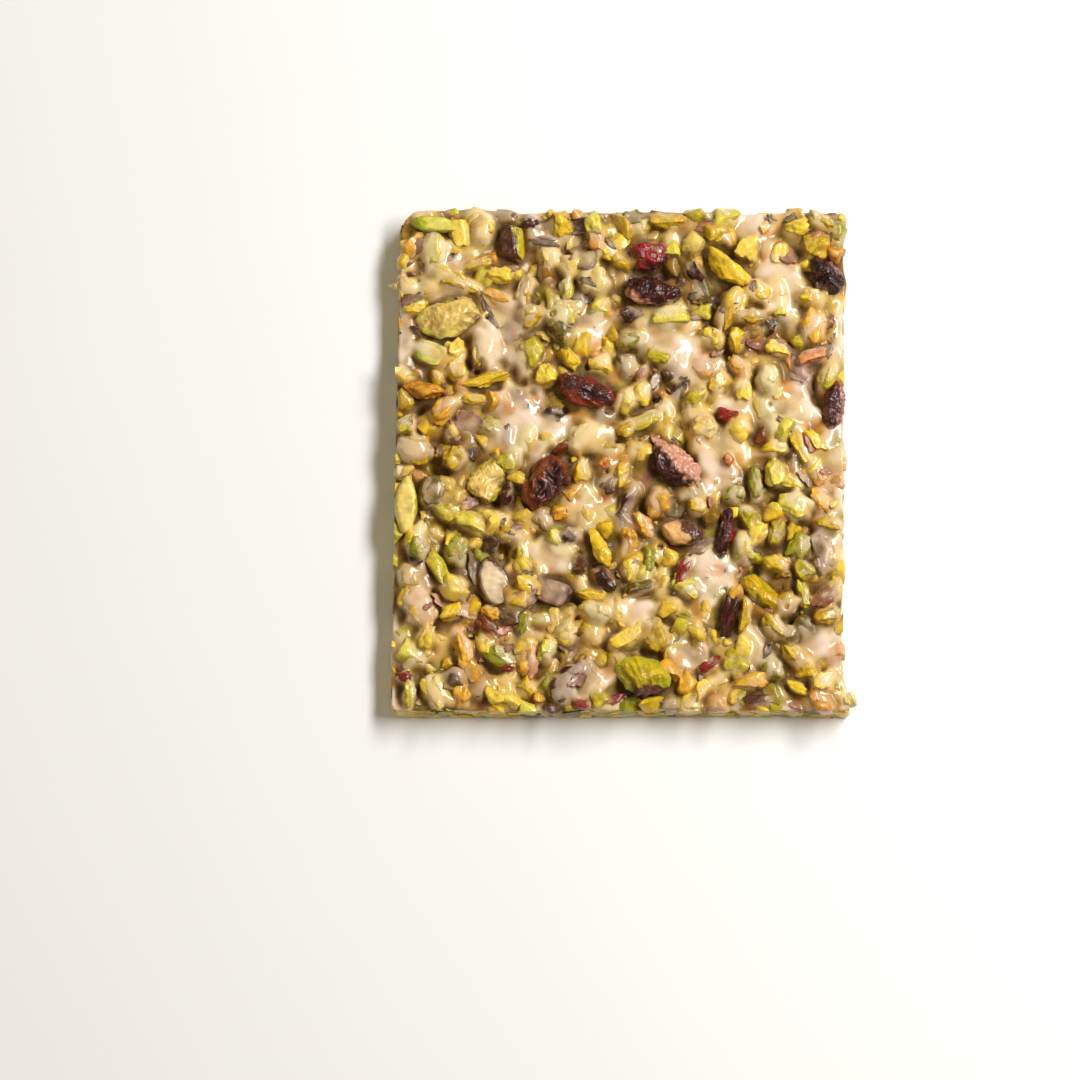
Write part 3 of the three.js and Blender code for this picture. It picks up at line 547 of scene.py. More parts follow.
def buried_bits(rng):
    """Nuts sunk under the caramel, which drapes over them in humps."""
    bits = []
    for tint in rng.choice(BURIED_TINTS, BURIED_NUTS):
        x, y = rng.uniform(-0.5, 0.5, 2) * (WIDTH - 2, DEPTH - 2)
        length = rng.uniform(3.4, 8)
        width = length * rng.uniform(0.55, 0.95)
        height = 0.65 * width
        pooled = float(ovals(POOLS + MORE_POOLS, x, y)) > 0
        top = float(level_at(x, y)) - (rng.uniform(0.7, 1.8) if pooled else rng.uniform(-0.4, 1.3))
        bits.append(Bit(x, y, top - height / 2, length, width, height, rng.uniform(0, 360), str(tint),
                        coat=rng.uniform(*THIN_COAT)))
    return bits


def crowded_bits(rng, others, height, dry, kind):
    """Chips crowded between the others, bare where nuts crowd and coated where the caramel pools."""
    count, longest, shortest, overlap = kind
    names, (common, dusky) = list(CHIP_TINTS), np.array(list(CHIP_TINTS.values())).T
    taken = np.array([(b.x, b.y, (b.length + b.width) / (4 if b.length < LARGE else 2.8)) for b in others])
    bits, tries = [], 12 * count
    for n in range(tries):
        x, y = rng.uniform(-0.5, 0.5, 2) * (WIDTH - 1.6, DEPTH - 1.6)
        length = longest + (shortest - longest) * n / tries
        width = length * rng.uniform(0.55, 0.95)
        thick = width * rng.uniform(0.65, 1)
        reach = (length + width) / 4
        pooled = height_under(dry, x, y) < 0.5
        crowd = np.hypot(taken[:, 0] - x, taken[:, 1] - y) < overlap * (taken[:, 2] + reach)
        if len(bits) == count or (pooled and rng.random() < 0.9) or np.any(crowd):
            continue
        taken = np.vstack([taken, (x, y, reach)])
        coat = rng.uniform(*THIN_COAT) if pooled or rng.random() < 0.25 else BARE
        z = height_under(height, x, y) + thick * (rng.uniform(-0.22, 0.38) if coat < 0 else -0.25)
        odds = dusky if ovals(DUSKY, x, y) > 0 else common
        tint = str(rng.choice(names, p=odds / odds.sum()))
        bits.append(Bit(x, y, float(z), length, width, thick, rng.uniform(0, 360), tint,
                        rng.uniform(-35, 35), rng.uniform(-35, 35), coat))
    return bits


def side_bits(rng):
    """Nuts sliced through by the cut edges, and flush in the underside."""
    names, common = list(SIDE_TINTS), np.array(list(SIDE_TINTS.values()))
    bits = []
    for n in range(SIDE_CHIPS + UNDER_CHIPS):
        length = rng.uniform(2.2, 6.4)
        width, height = length * rng.uniform(0.5, 0.9), length * rng.uniform(0.45, 0.8)
        if n < SIDE_CHIPS:
            side, along = n % 4, rng.uniform(-0.5, 0.5)
            u, v = [(-0.5, along), (0.5, along), (along, -0.5), (along, 0.5)][side]
            x, y = on_tile(np.float64(u), np.float64(v))
            deep = rng.uniform(-0.1, 0.25) * length
            x, y = x - np.sign(u) * deep * (side < 2), y - np.sign(v) * deep * (side > 1)
            z = rng.uniform(0.5, 5.4)
        else:
            x, y = rng.uniform(-0.5, 0.5, 2) * (WIDTH - 3, DEPTH - 3)
            z = rng.uniform(0, 0.35) * height
        tint = str(rng.choice(names, p=common / common.sum()))
        bits.append(Bit(float(x), float(y), z, length, width, height, rng.uniform(0, 360), tint,
                        rng.uniform(-40, 40), rng.uniform(-40, 40)))
    return bits


# ---------------------------------------------------------------- the caramel

grid_u, grid_v = np.meshgrid(*(np.linspace(-0.5, 0.5, n + 1) for n in (COLS, ROWS)), indexing="ij")
grid_x, grid_y = on_tile(grid_u, grid_v)


def on_grid(rng, size, waves=7):
    """Random values over the tile's top, with humps about size across."""
    return lumps(np.stack([grid_x, grid_y], -1), rng, size, waves)


grid_rough = on_grid(np.random.default_rng(ROUGH_SEED), 3.4)


def near(bit, spread):
    """The part of the grid round a bit, and how far out of the bit's oval each point lies."""
    reach = max(bit.length, bit.width) / 2 * spread + 1.5
    i0, i1 = (int(np.clip((bit.x + s * reach) / WIDTH * COLS + COLS / 2, 0, COLS)) for s in (-1, 1))
    j0, j1 = (int(np.clip((bit.y + s * reach) / DEPTH * ROWS + ROWS / 2, 0, ROWS)) for s in (-1, 1))
    window = np.s_[i0:i1 + 1, j0:j1 + 1]
    dx, dy = grid_x[window] - bit.x, grid_y[window] - bit.y
    c, s = math.cos(math.radians(bit.turn)), math.sin(math.radians(bit.turn))
    out = np.hypot((c * dx + s * dy) / (bit.length / 2), (c * dy - s * dx) / (bit.width / 2))
    return window, out * (1 + 0.09 * grid_rough[window])


def dome(bit, out):
    """The height of a bit's top."""
    return bit.z + bit.height / 2 * np.sqrt(np.clip(1 - out**2.2, 0, None))


def dryness(rng):
    """Where nuts crowd in heaps and there is little caramel: 0 in the pools, 1 well away from them."""
    pool = smooth(ovals(POOLS + MORE_POOLS, grid_x, grid_y) + 0.24 * on_grid(rng, 5), -0.2, 0.2)
    edge = np.minimum(edge_at(RIGHT_EDGE, grid_y) - grid_x, edge_at(BACK_EDGE, grid_x) - grid_y)
    pool = np.maximum(pool, 0.9 * smooth(2.2 - edge + 0.8 * on_grid(rng, 9), 0, 1.2))
    return (1 - pool) * (0.75 + 0.25 * smooth(on_grid(rng, 9), -0.8, -0.1))


def sunk_heights(buried, dry, rng):
    """The caramel before the pieces that show: low where nuts crowd, draped over the sunk ones."""
    inside = 0.2 + 0.8 * smooth(to_rim(grid_x, grid_y), 0, 4)
    drop = DRY_DROP * dry * inside * (0.85 + 0.25 * on_grid(rng, 6))
    height = level_at(grid_x, grid_y) - FILM_DROP - drop
    height += (1 - dry) * (0.26 * on_grid(rng, 8) + 0.1 * on_grid(rng, 4))
    for bit in buried:
        window, out = near(bit, 1.2)
        height[window] = np.maximum(height[window], np.where(out < 1, dome(bit, out) + bit.coat, -9))
    dusky = smooth(ovals(DUSKY, grid_x, grid_y) + 0.2 * on_grid(rng, 4), -0.2, 0.4)
    height -= DUSKY_DROP * dry * dusky
    cleft = smooth(ovals(CLEFTS, grid_x, grid_y) + 0.25 * on_grid(rng, 3), -0.3, 0.6)
    return softened(height, 4) - CLEFT_DEPTH * cleft


def wetted_heights(height, bits, dry, rng):
    """The caramel drawn up round each piece and over one side of it, and pitted with small holes."""
    for bit in bits:
        window, out = near(bit, 1.5)
        way = rng.uniform(0, 2 * math.pi)
        side = (grid_x[window] - bit.x) * math.cos(way) + (grid_y[window] - bit.y) * math.sin(way)
        large = bit.length > LARGE
        drape = -9 if large else rng.choice([-1.1, -0.7, -0.3], p=[0.15, 0.35, 0.5])
        film = bit.coat if bit.coat > 0 else 1.4 * side / (bit.length + bit.width) + drape
        gap = (out - 1) * (bit.length + bit.width) / 4
        here, climb = height[window], 0.35 if large else rng.uniform(0.15, 1) * (1 - 0.6 * dry[window])
        wet = np.minimum(here + climb * np.exp(-((gap / 0.9) ** 2)), bit.z + 0.2 * bit.height)
        here = np.maximum(here, wet)
        height[window] = np.maximum(here, np.where(out < 1, dome(bit, out) + film, -9))
    height = softened(height, 2)
    pits = list(PITS)
    for _ in range(SMALL_PITS):
        pits.append((*(rng.uniform(-0.46, 0.46, 2) * (WIDTH, DEPTH)), rng.uniform(0.35, 0.7)))
    for x, y, r in pits:
        height -= PIT_DEPTH * np.exp(-((np.hypot(grid_x - x, grid_y - y) / r) ** 4))
    return np.clip(height, THINNEST, cad_high.z / MM - HEADROOM)


def caramel_colours(height, bits, dry, rng):
    """Creamy on the humps; amber, olive and brown where it is thin and low between the nuts, partly its
    colour and partly painted shade; painted shade where it lies low, dark painted shade in the hollows;
    and tinted by the pieces that show through. Gives the colours, how deep the hollows are and how thin
    and shaded it is."""
    weight, colour, surface = np.full(grid_x.shape, 1e-6), np.zeros((*grid_x.shape, 3)), height.copy()
    for bit in bits:
        window, out = near(bit, 1.4)
        film = height[window] - dome(bit, out)
        w = np.exp(-((np.clip(out - 0.7, 0, None) / 0.32) ** 2)) * np.exp(-np.clip(film, 0, None) / 0.7)
        weight[window] += w
        colour[window] += w[..., None] * linear(bit.tint)
        bare_top = np.where((out < 1) & (bit.coat < 0), dome(bit, out), 0)
        surface[window] = np.maximum(surface[window], bare_top)
    share = softened(np.clip(weight, 0, 1), 2)[..., None]
    shown = softened(colour / np.maximum(weight, 1e-3)[..., None], 2)
    level = level_at(grid_x, grid_y)
    surface, over = surface - level, height - level
    wide, tight = ((softened(surface, passes) - over)[..., None] for passes in (60, 10))
    lean = smooth(dry, 0.25, 0.75)[..., None]
    # Partly painted shade: where the caramel lies low and thin between the nuts it turns amber, olive or
    # brown.
    bare = 0.97 * smooth(wide, 0.35, 0.9) * (0.35 + 0.65 * lean)
    kind = on_grid(rng, 7)[..., None]
    thin = THIN_SHADED_AMBER + smooth(kind, 0.1, 0.9) * TO_OLIVE + smooth(-kind, 0.1, 1) * TO_BROWN
    cast = smooth(on_grid(rng, 11) + 0.5 * on_grid(rng, 5), -0.1, 1.6)[..., None]
    veiled = [(x, y, 0.8 * a, 0.8 * b, turn) for x, y, a, b, turn, _, clear in SKINS if clear > 0.4]
    grey = smooth(ovals(veiled, grid_x, grid_y) + 0.3 * on_grid(rng, 5), -0.5, 0.3)
    grey = 0.75 * np.maximum(grey, smooth(on_grid(rng, 9), 0.5, 1.2))[..., None]
    body = blend(CREAMY * (1 - cast * CAST), VEIL, grey)
    # Painted shade: darker and warmer where the caramel lies below its surroundings, beside heaps and
    # pools.
    shaded = 0.85 * smooth(softened(surface, 24) - over, -0.05, 0.5)[..., None]
    body = blend(body, lean * HEAP_SHADE + (1 - lean) * POOL_SHADE, shaded)
    glow = 0.6 * smooth(on_grid(np.random.default_rng(GLOW_SEED), 7, 9), 0.75, 1.4)[..., None]
    body = blend(blend(body, thin, bare), GLOW, glow)
    mixed = blend(body, 0.2 * body + 0.8 * shown, 0.6 * share)
    # Painted shade: nearly black brown in the deep, narrow hollows.
    deep = smooth(tight, 0.15, 0.85) * smooth(wide, 0.3, 1.1)
    return blend(mixed, HOLLOW_SHADE, 0.9 * deep), deep, bare[..., 0]


def caramel_mesh(height, colours, sides):
    """Closes the top with its cut edges and its underside. Gives points, faces and tints."""
    quads, ring = grid_faces(COLS + 1, ROWS + 1)
    top, faces = np.stack([grid_x, grid_y, height], -1).reshape(-1, 3), [quads]
    rim = top[ring]
    along = np.roll(rim, -1, 0)[:, :2] - np.roll(rim, 1, 0)[:, :2]
    out = np.stack([along[:, 1], -along[:, 0]], 1) / np.linalg.norm(along, axis=1, keepdims=True)
    walls, last, count = [], ring, len(top)
    for tier in range(1, TIERS + 1):
        down = tier / TIERS
        p = np.column_stack([rim[:, :2], rim[:, 2] * (1 - down) + UNDERSIDE * down])
        wave = lumps(p, np.random.default_rng(WALL_SEED), 5)
        rough = lumps(p, np.random.default_rng(WALL_GRAIN_SEED), 1.6)
        push = 0.2 * wave + 0.08 * rough if tier < TIERS else np.full(len(p), -0.25)
        p[:, :2] += out * push[:, None]
        walls.append(p)
        here = count + np.arange(len(ring))
        count += len(ring)
        faces.append(np.stack([last, here, np.roll(here, -1), np.roll(last, -1)], -1))
        last = here

    base = walls[-1][:, :2]
    steps = [np.arange(*span, UNDERSIDE_STEP) for span in ((-47, 46.6), (-54.2, 53.6))]
    inner = np.stack(np.meshgrid(*steps, indexing="ij"), -1).reshape(-1, 2)
    inner = inner[to_rim(*inner.T) > 1.2]
    flat = [Vector(p) for p in np.vstack([base, inner])]
    loop = [(n, (n + 1) % len(base)) for n in range(len(base))]
    spots, _, tris, origins, *_ = geometry.delaunay_2d_cdt(flat, loop, [], 1, 1e-5)
    place, floor = {}, []
    for n, (spot, origin) in enumerate(zip(spots, origins)):
        if origin[0] < len(base):
            place[n] = int(last[origin[0]])
        else:
            place[n] = count + len(floor)
            floor.append((*spot, UNDERSIDE))
    bottom = [[place[n] for n in reversed(t)] for t in tris]

    points = np.vstack([top, *walls, np.array(floor)])
    lower = points[len(top):]
    milky = smooth(lumps(lower, np.random.default_rng(MILKY_SEED), 6, 12), -0.6, 1)[:, None]
    weight, shown = np.zeros(len(lower)), np.zeros((len(lower), 3))
    for bit in sides:
        away = np.linalg.norm(lower - (bit.x, bit.y, bit.z), axis=1) / (0.6 * bit.length)
        w = np.exp(-(away**4))
        weight += w
        shown += w[:, None] * linear(bit.tint)
    shown /= np.maximum(weight, 1e-3)[:, None]
    tint = blend(blend(CUT_AMBER, CUT_MILKY, milky), shown, 0.5 * np.clip(weight, 0, 1)[:, None])
    all_faces = [list(map(int, f)) for part in faces for f in part] + bottom
    return points, all_faces, np.vstack([colours.reshape(-1, 3), tint])


# ---------------------------------------------------------------- meshes

def set_out(name, data):
    """A new object in the scene, at the origin."""
    made = bpy.data.objects.new(name, data)
    bpy.context.scene.collection.objects.link(made)
    return made


def store(mesh, key, kind, rows):
    """Keeps values on a mesh's points, under that name."""
    field = {"FLOAT_VECTOR": "vector", "FLOAT_COLOR": "color"}.get(kind, "value")
    layer = mesh.attributes.new(key, kind, "POINT")
    layer.data.foreach_set(field, np.asarray(rows, np.int32 if kind == "INT" else np.float32).ravel())


def read(items, field, width):
    """Values of a mesh's items, as rows of that width."""
    values = np.zeros(len(items) * width, np.float32)
    items.foreach_get(field, values)
    return values.reshape(-1, width)


def corners_of(mesh):
    return read(mesh.vertices, "co", 3).astype(float) / MM


def evaluated(holder):
    """The plain mesh that an object's modifier makes. The object itself goes."""
    bpy.context.view_layer.update()
    seen = holder.evaluated_get(bpy.context.evaluated_depsgraph_get())
    mesh = bpy.data.meshes.new_from_object(seen)
    bpy.data.objects.remove(holder)
    return mesh


def plain_object(name, points, faces, tints, material, **values):
    """A mesh object in metres at the origin, with its tints and other values on its corners."""
    mesh = bpy.data.meshes.new(name)
    faces = faces if isinstance(faces, list) else faces.tolist()
    mesh.from_pydata((np.asarray(points) * MM).tolist(), [], faces)
    mesh.validate()
    store(mesh, "tint", "FLOAT_COLOR", np.column_stack([np.clip(tints, 0, 1), np.ones(len(tints))]))
    for key, value in values.items():
        store(mesh, key, "FLOAT", value)
    mesh.polygons.foreach_set("use_smooth", [True] * len(mesh.polygons))
    mesh.materials.append(material)
    return set_out(name, mesh)


def joined(parts):
    """Many pieces, each as points, faces and tints, as one."""
    points, faces, tints = zip(*parts)
    starts = np.cumsum([0] + [len(v) for v in points])
    return np.vstack(points), np.vstack([f + start for f, start in zip(faces, starts)]), np.vstack(tints)


def height_under(height, x, y):
    """The caramel's height at points, read off the grid."""
    i = np.clip((np.asarray(x) / WIDTH + 0.5) * COLS, 0, COLS - 1.001)
    j = np.clip((np.asarray(y) / DEPTH + 0.5) * ROWS, 0, ROWS - 1.001)
    i0, j0 = i.astype(int), j.astype(int)
    fi, fj = i - i0, j - j0
    return (height[i0, j0] * (1 - fi) * (1 - fj) + height[i0 + 1, j0] * fi * (1 - fj)
            + height[i0, j0 + 1] * (1 - fi) * fj + height[i0 + 1, j0 + 1] * fi * fj)


def caramel_at(v):
    """The caramel's colour under points."""
    return np.stack([height_under(grid_tints[..., c], v[:, 0], v[:, 1]) for c in range(3)], 1)


def above(height, v):
    """How far points lie above the caramel."""
    return v[:, 2] - height_under(height, v[:, 0], v[:, 1])


def wetness(height, v):
    """How much caramel films a point: most at the surface, less above it, and in soft patches."""
    patches = lumps(v, np.random.default_rng(WET_SEED), 6)
    return np.clip(1 - smooth(above(height, v) + 0.35 * patches, -0.1, 0.8) + 0.12 * patches, 0, 1)


def sunk_tint(height, v, tint, climb=1):
    """Painted shade low down on pieces, where less light comes through: a deeper, richer colour there, more
    so where the caramel round them lies thin and low; and the caramel runs up their foot in patches."""
    up, thin = above(height, v), height_under(thin_shaded_grid, v[:, 0], v[:, 1])
    # Painted shade: the lower a point and the thinner the caramel there, the darker and richer.
    low = ((1 - smooth(up, -0.3, 1.4)) * (0.25 + 0.75 * thin))[:, None]
    reach = up + 0.4 * lumps(v, np.random.default_rng(FOOT_SEED), 3.5)
    foot = (climb * (0.9 - 0.6 * thin) * (1 - smooth(reach, -0.1, 0.85)))[:, None]
    return blend(tint * (1 - low * LOW_SHADE_LOSS), caramel_at(v), foot)


def facing(v, tri):
    """The way each corner of a mesh of triangles faces."""
    a, b, c = (v[tri[:, k]] for k in range(3))
    out, total = np.cross(b - a, c - a), np.zeros_like(v)
    for k in range(3):
        np.add.at(total, tri[:, k], out)
    return total / np.maximum(np.linalg.norm(total, axis=1, keepdims=True), 1e-9)


def broken_tone(tone, up, v, rng):
    """Broken nut flesh with painted light, paler where it faces up, and painted shade, richer down its
    sides. Skins stay dark.
    """
    # Painted shade down the sides and painted light on the tops, by the way each corner faces.
    side_shade = 0.75 * smooth(0.75 - up + 0.4 * lumps(v, rng, 2.4), 0.1, 1)[:, None]
    top_light = 0.36 * smooth(up + 0.35 * lumps(v, rng, 1.5), 0.55, 1.15) * smooth(tone[:, 0], 0.25, 0.6)
    tone = blend(blend(tone, richer(tone), side_shade), PAINTED_TOP_LIGHT, top_light[:, None]) * NUT_CAST
    return tone * (1 + 0.12 * lumps(v, rng, 1.1))[:, None]


def large_pieces(bits, height, rng):
    """The larger chopped nuts, each chopped its own way. Gives points, faces, tints and film."""
    corners, tri = ball(4)
    parts = []
    for bit in bits:
        v = chopped(corners, rng, 5, 3)
        v *= (1 + 0.035 * lumps(v, rng, 0.36))[:, None]
        v = v * (bit.length / 2, bit.width / 2, bit.height / 2)
        v = turned(v, bit.turn, bit.tilt, bit.lean) + (bit.x, bit.y, bit.z)
        # Painted light and shade by the way each corner faces, and painted shade low down.
        tone = broken_tone(np.tile(linear(bit.tint), (len(v), 1)), facing(v, tri)[:, 2], v, rng)
        parts.append((v, tri, sunk_tint(height, v, tone)))
    v, faces, tints = joined(parts)
    return v, faces, tints, wetness(height, v)


def loose_skins(dry, rng):
    """Small torn skins among the crowded nuts."""
    skins = []
    while len(skins) < LOOSE_SKINS:
        x, y = rng.uniform(-0.5, 0.5, 2) * (WIDTH - 4, DEPTH - 4)
        length = rng.uniform(1.6, 5)
        if height_under(dry, x, y) > 0.4:
            tint = str(rng.choice(SKIN_TINTS))
            skins.append((x, y, length, length * rng.uniform(0.25, 0.6), rng.uniform(0, 180), tint, 0.3))
    return skins


def skin_pieces(skins, height, rng):
    """Thin skins that lie on the caramel, with a torn dark rim and a middle as clear as each one says."""
    steps = np.linspace(-1, 1, SKIN_STEPS)
    su, sv = np.meshgrid(steps, steps, indexing="ij")
    disc = np.stack([su * np.sqrt(1 - sv**2 / 2), sv * np.sqrt(1 - su**2 / 2)], -1).reshape(-1, 2)
    quads, loop = grid_faces(SKIN_STEPS, SKIN_STEPS)
    under, ahead = len(disc), np.roll(loop, -1)
    hem = np.stack([loop, loop + under, ahead + under, ahead], -1)
    faces = np.vstack([quads, quads[:, ::-1] + under, hem])
    rim = smooth(np.hypot(*disc.T), 0.62, 0.95)[:, None]
    parts = []
    for x, y, length, width, turn, tint, clear in skins:
        torn = 1 + 0.16 * lumps(disc * 2, rng, 1.7)
        p = disc * torn[:, None] * (length / 2, width / 2)
        curl = 0.12 * width * ((disc**2).sum(1) - 0.5) * rng.uniform(-0.6, 1)
        top = np.column_stack([p, curl + 0.1 * lumps(disc * 2, rng, 2)])
        v = np.vstack([top, top - (0, 0, SKIN_THICK)])
        v = turned(v, turn, rng.uniform(-9, 9), rng.uniform(-5, 5)) + (x, y, 0)
        v[:, 2] += height_under(height, v[:, 0], v[:, 1]) + SKIN_LIFT
        share = clear * (1 - np.vstack([rim, rim]))
        tone = blend(linear(tint), caramel_at(v) * CLEAR_SKIN, share)
        parts.append((v, faces, tone * (1 + 0.2 * lumps(v, rng, 2.2)[:, None])))
    v, faces, tints = joined(parts)
    return v, faces, tints, wetness(height, v) * 0.5


# ---------------------------------------------------------------- small chips, set by nodes

def chip_shapes(name, count, steps, rng):
    """A set of small chopped shapes of unit size, in a collection of their own."""
    corners, tri = ball(steps)
    group = bpy.data.collections.new(name)
    for n in range(count):
        shape = bpy.data.meshes.new(f"{name}_{n:02d}")
        shape.from_pydata((chopped(corners, rng) / 2).tolist(), [], tri.tolist())
        group.objects.link(bpy.data.objects.new(f"{name}_{n:02d}", shape))
    return group


def setting_tree():
    """Sets a chip on every point, turned and sized by the point's own values."""
    tree = bpy.data.node_groups.new("Set chips on points", "GeometryNodeTree")
    face = tree.interface
    face.new_socket("Geometry", in_out="INPUT", socket_type="NodeSocketGeometry")
    kinds = {"Chip Shapes": "Collection", "Chip Size": "Float", "Finish": "Material"}
    identifiers = {name: face.new_socket(name, in_out="INPUT", socket_type="NodeSocket" + kind).identifier
                   for name, kind in kinds.items()}
    face.new_socket("Geometry", in_out="OUTPUT", socket_type="NodeSocketGeometry")
    new, link = tree.nodes.new, tree.links.new
    enter, leave = new("NodeGroupInput"), new("NodeGroupOutput")

    def stored(name, data_type):
        node = new("GeometryNodeInputNamedAttribute")
        node.data_type = data_type
        node.inputs["Name"].default_value = name
        return node.outputs["Attribute"]

    shapes = new("GeometryNodeCollectionInfo")
    link(enter.outputs["Chip Shapes"], shapes.inputs["Collection"])
    for choice in ("Separate Children", "Reset Children"):
        shapes.inputs[choice].default_value = True
    size = new("ShaderNodeVectorMath")
    size.operation = "SCALE"
    link(stored("size", "FLOAT_VECTOR"), size.inputs[0])
    link(enter.outputs["Chip Size"], size.inputs["Scale"])
    spin = new("FunctionNodeEulerToRotation")
    link(stored("turn", "FLOAT_VECTOR"), spin.inputs[0])
    put = new("GeometryNodeInstanceOnPoints")
    link(enter.outputs["Geometry"], put.inputs["Points"])
    link(shapes.outputs[0], put.inputs["Instance"])
    put.inputs["Pick Instance"].default_value = True
    link(stored("shape", "INT"), put.inputs["Instance Index"])
    link(spin.outputs[0], put.inputs["Rotation"])
    link(size.outputs[0], put.inputs["Scale"])
    real, finish = new("GeometryNodeRealizeInstances"), new("GeometryNodeSetMaterial")
    link(put.outputs[0], real.inputs[0])
    link(real.outputs[0], finish.inputs["Geometry"])
    link(enter.outputs["Finish"], finish.inputs["Material"])
    link(finish.outputs[0], leave.inputs[0])
    return tree, identifiers


def set_chips(name, bits, shapes, tree, inputs, rng, material):
    """A plain mesh of chips, one for each bit."""
    points = bpy.data.meshes.new(name + "_points")
    points.from_pydata([(b.x * MM, b.y * MM, b.z * MM) for b in bits], [], [])
    store(points, "turn", "FLOAT_VECTOR", np.radians([[b.tilt, b.lean, b.turn] for b in bits]))
    store(points, "size", "FLOAT_VECTOR", [[b.length, b.width, b.height] for b in bits])
    store(points, "shape", "INT", rng.integers(0, len(shapes.objects), len(bits)))
    store(points, "tint", "FLOAT_COLOR", [[*linear(b.tint), 1] for b in bits])
    store(points, "stand", "FLOAT", rng.uniform(0, 1, len(bits)))
    holder = set_out(name + "_holder", points)
    modifier = holder.modifiers.new("Set chips", "NODES")
    modifier.node_group = tree
    for socket, value in {"Chip Shapes": shapes, "Chip Size": MM, "Finish": material}.items():
        modifier[inputs[socket]] = value
    mesh = evaluated(holder)
    mesh.name = name
    return set_out(name, mesh)


def finish_chips(made, height, rng, at_side):
    """Slices chips flush with the cut edges and the underside, and gives each corner its own colour:
    painted light and shade by the way it faces, and on the top painted shade low down.
    """
    mesh = made.data
    v, stand = corners_of(mesh), read(mesh.attributes["stand"].data, "value", 1)[:, 0]
    least, more = SIDE_STAND if at_side else TOP_STAND
    floor, stand = FOOT * stand, least + more * stand
    x = np.clip(v[:, 0], edge_at(LEFT_EDGE, v[:, 1]) - stand, edge_at(RIGHT_EDGE, v[:, 1]) + stand)
    y = np.clip(v[:, 1], edge_at(FRONT_EDGE, x) - stand, edge_at(BACK_EDGE, x) + stand)
    x, y = corners_rounded(x, y)
    v = np.column_stack([x, y, np.maximum(v[:, 2], floor)])
    mesh.vertices.foreach_set("co", (v * MM).astype(np.float32).ravel())
    mesh.update()
    # How far each corner faces up, for the painted light and shade; the edge chips all get one value.
    up = np.full(len(v), 0.55) if at_side else read(mesh.vertex_normals, "vector", 3)[:, 2].astype(float)
    tint = read(mesh.attributes["tint"].data, "color", 4)
    tint[:, :3] = broken_tone(tint[:, :3].astype(float), up, v, rng)
    if not at_side:
        tint[:, :3] = sunk_tint(height, v, tint[:, :3])
    mesh.attributes["tint"].data.foreach_set("color", np.clip(tint, 0, 1).ravel())
    store(mesh, "film", "FLOAT", wetness(height, v) * (not at_side))
    for extra in ("turn", "size", "shape", "stand"):
        if extra in mesh.attributes:
            mesh.attributes.remove(mesh.attributes[extra])
    mesh.polygons.foreach_set("use_smooth", [True] * len(mesh.polygons))
    mesh.set_sharp_from_angle(angle=math.radians(SIDE_SHARP if at_side else TOP_SHARP))
    mesh.update()
    return made


# ---------------------------------------------------------------- whole kernels and berries

def smooth_copy(node):
    """The node's own mesh, merged and rounded: its points, its faces and the way each point faces."""
    bm = bmesh.new()
    bm.from_mesh(frame["nodes"][node].data)
    bmesh.ops.remove_doubles(bm, verts=bm.verts, dist=1e-6)
    mesh = bpy.data.meshes.new(node + "_rough")
    bm.to_mesh(mesh)
    bm.free()
    holder = set_out(node + "_holder", mesh)
    rounding = holder.modifiers.new("Round", "SUBSURF")
    rounding.levels = rounding.render_levels = ROUNDING
    fine = evaluated(holder)
    normals = np.array([v.normal[:] for v in fine.vertices])
    return corners_of(fine), [list(p.vertices) for p in fine.polygons], normals


def whole_piece(node, height, rng, material, folds, grain):
    """A kernel or berry: the solid rounded and cut, with folds and grain of these depths, and its patch."""
    x, y, length, width, turn, top, edge, patch, faces_to, cover = WHOLE[node]
    v, faces, normals = smooth_copy(node)
    low, high = v[:, 2].min(), v[:, 2].max()
    middle, half = np.array([x, y, (high + low) / 2]), np.array([length, width, high - low]) / 2
    unit = turned(v - middle, -turn) / half
    for angle, lift, far in CUTS.get(node, []):
        a, b = math.radians(angle - turn), math.radians(lift)
        way = np.array([math.cos(a) * math.cos(b), math.sin(a) * math.cos(b), math.sin(b)])
        unit -= np.outer(0.85 * np.clip(unit @ way - far, 0, None), way)
    v = turned(unit * half, turn) + middle
    fold = 1 - 1.6 * np.abs(lumps(v, rng, 3.4, 16))
    v = v + normals * (folds * (fold + lumps(v, rng, 6, 9)) + grain * lumps(v, rng, 0.8, 30))[:, None]
    rim = np.hypot(unit[:, 0], unit[:, 1]) ** 3 * (1.3 if edge == "husk" else 0.5)
    up = smooth(unit[:, 2] - rim + 0.25 * lumps(v, rng, 3), -0.5, 0.5)[:, None]
    tone = linear(top) * up + linear(edge) * (1 - up) * 0.9
    # Painted light on the ridges of the folds and painted shade in their furrows.
    tone = tone * (1 + 0.09 * lumps(v, rng, 1.4) + 0.07 * lumps(v, rng, 4) + folds * fold)[:, None]
    toward = math.radians(faces_to - turn)
    reach = unit[:, :2] @ (math.cos(toward), math.sin(toward)) + 0.16 * lumps(v, rng, 2.2)
    patched = smooth(reach, 1 - 1.7 * cover, 1.25 - 1.7 * cover)[:, None]
    tone = blend(tone, linear(patch) * (1 + 0.2 * lumps(v, rng, 0.8)[:, None]), patched)
    # Painted shade low down, and the caramel up the foot.
    tints = sunk_tint(height, v, tone, 0.5)
    return plain_object("whole_" + node, v, faces, tints, material, film=wetness(height, v))


# ---------------------------------------------------------------- finishes

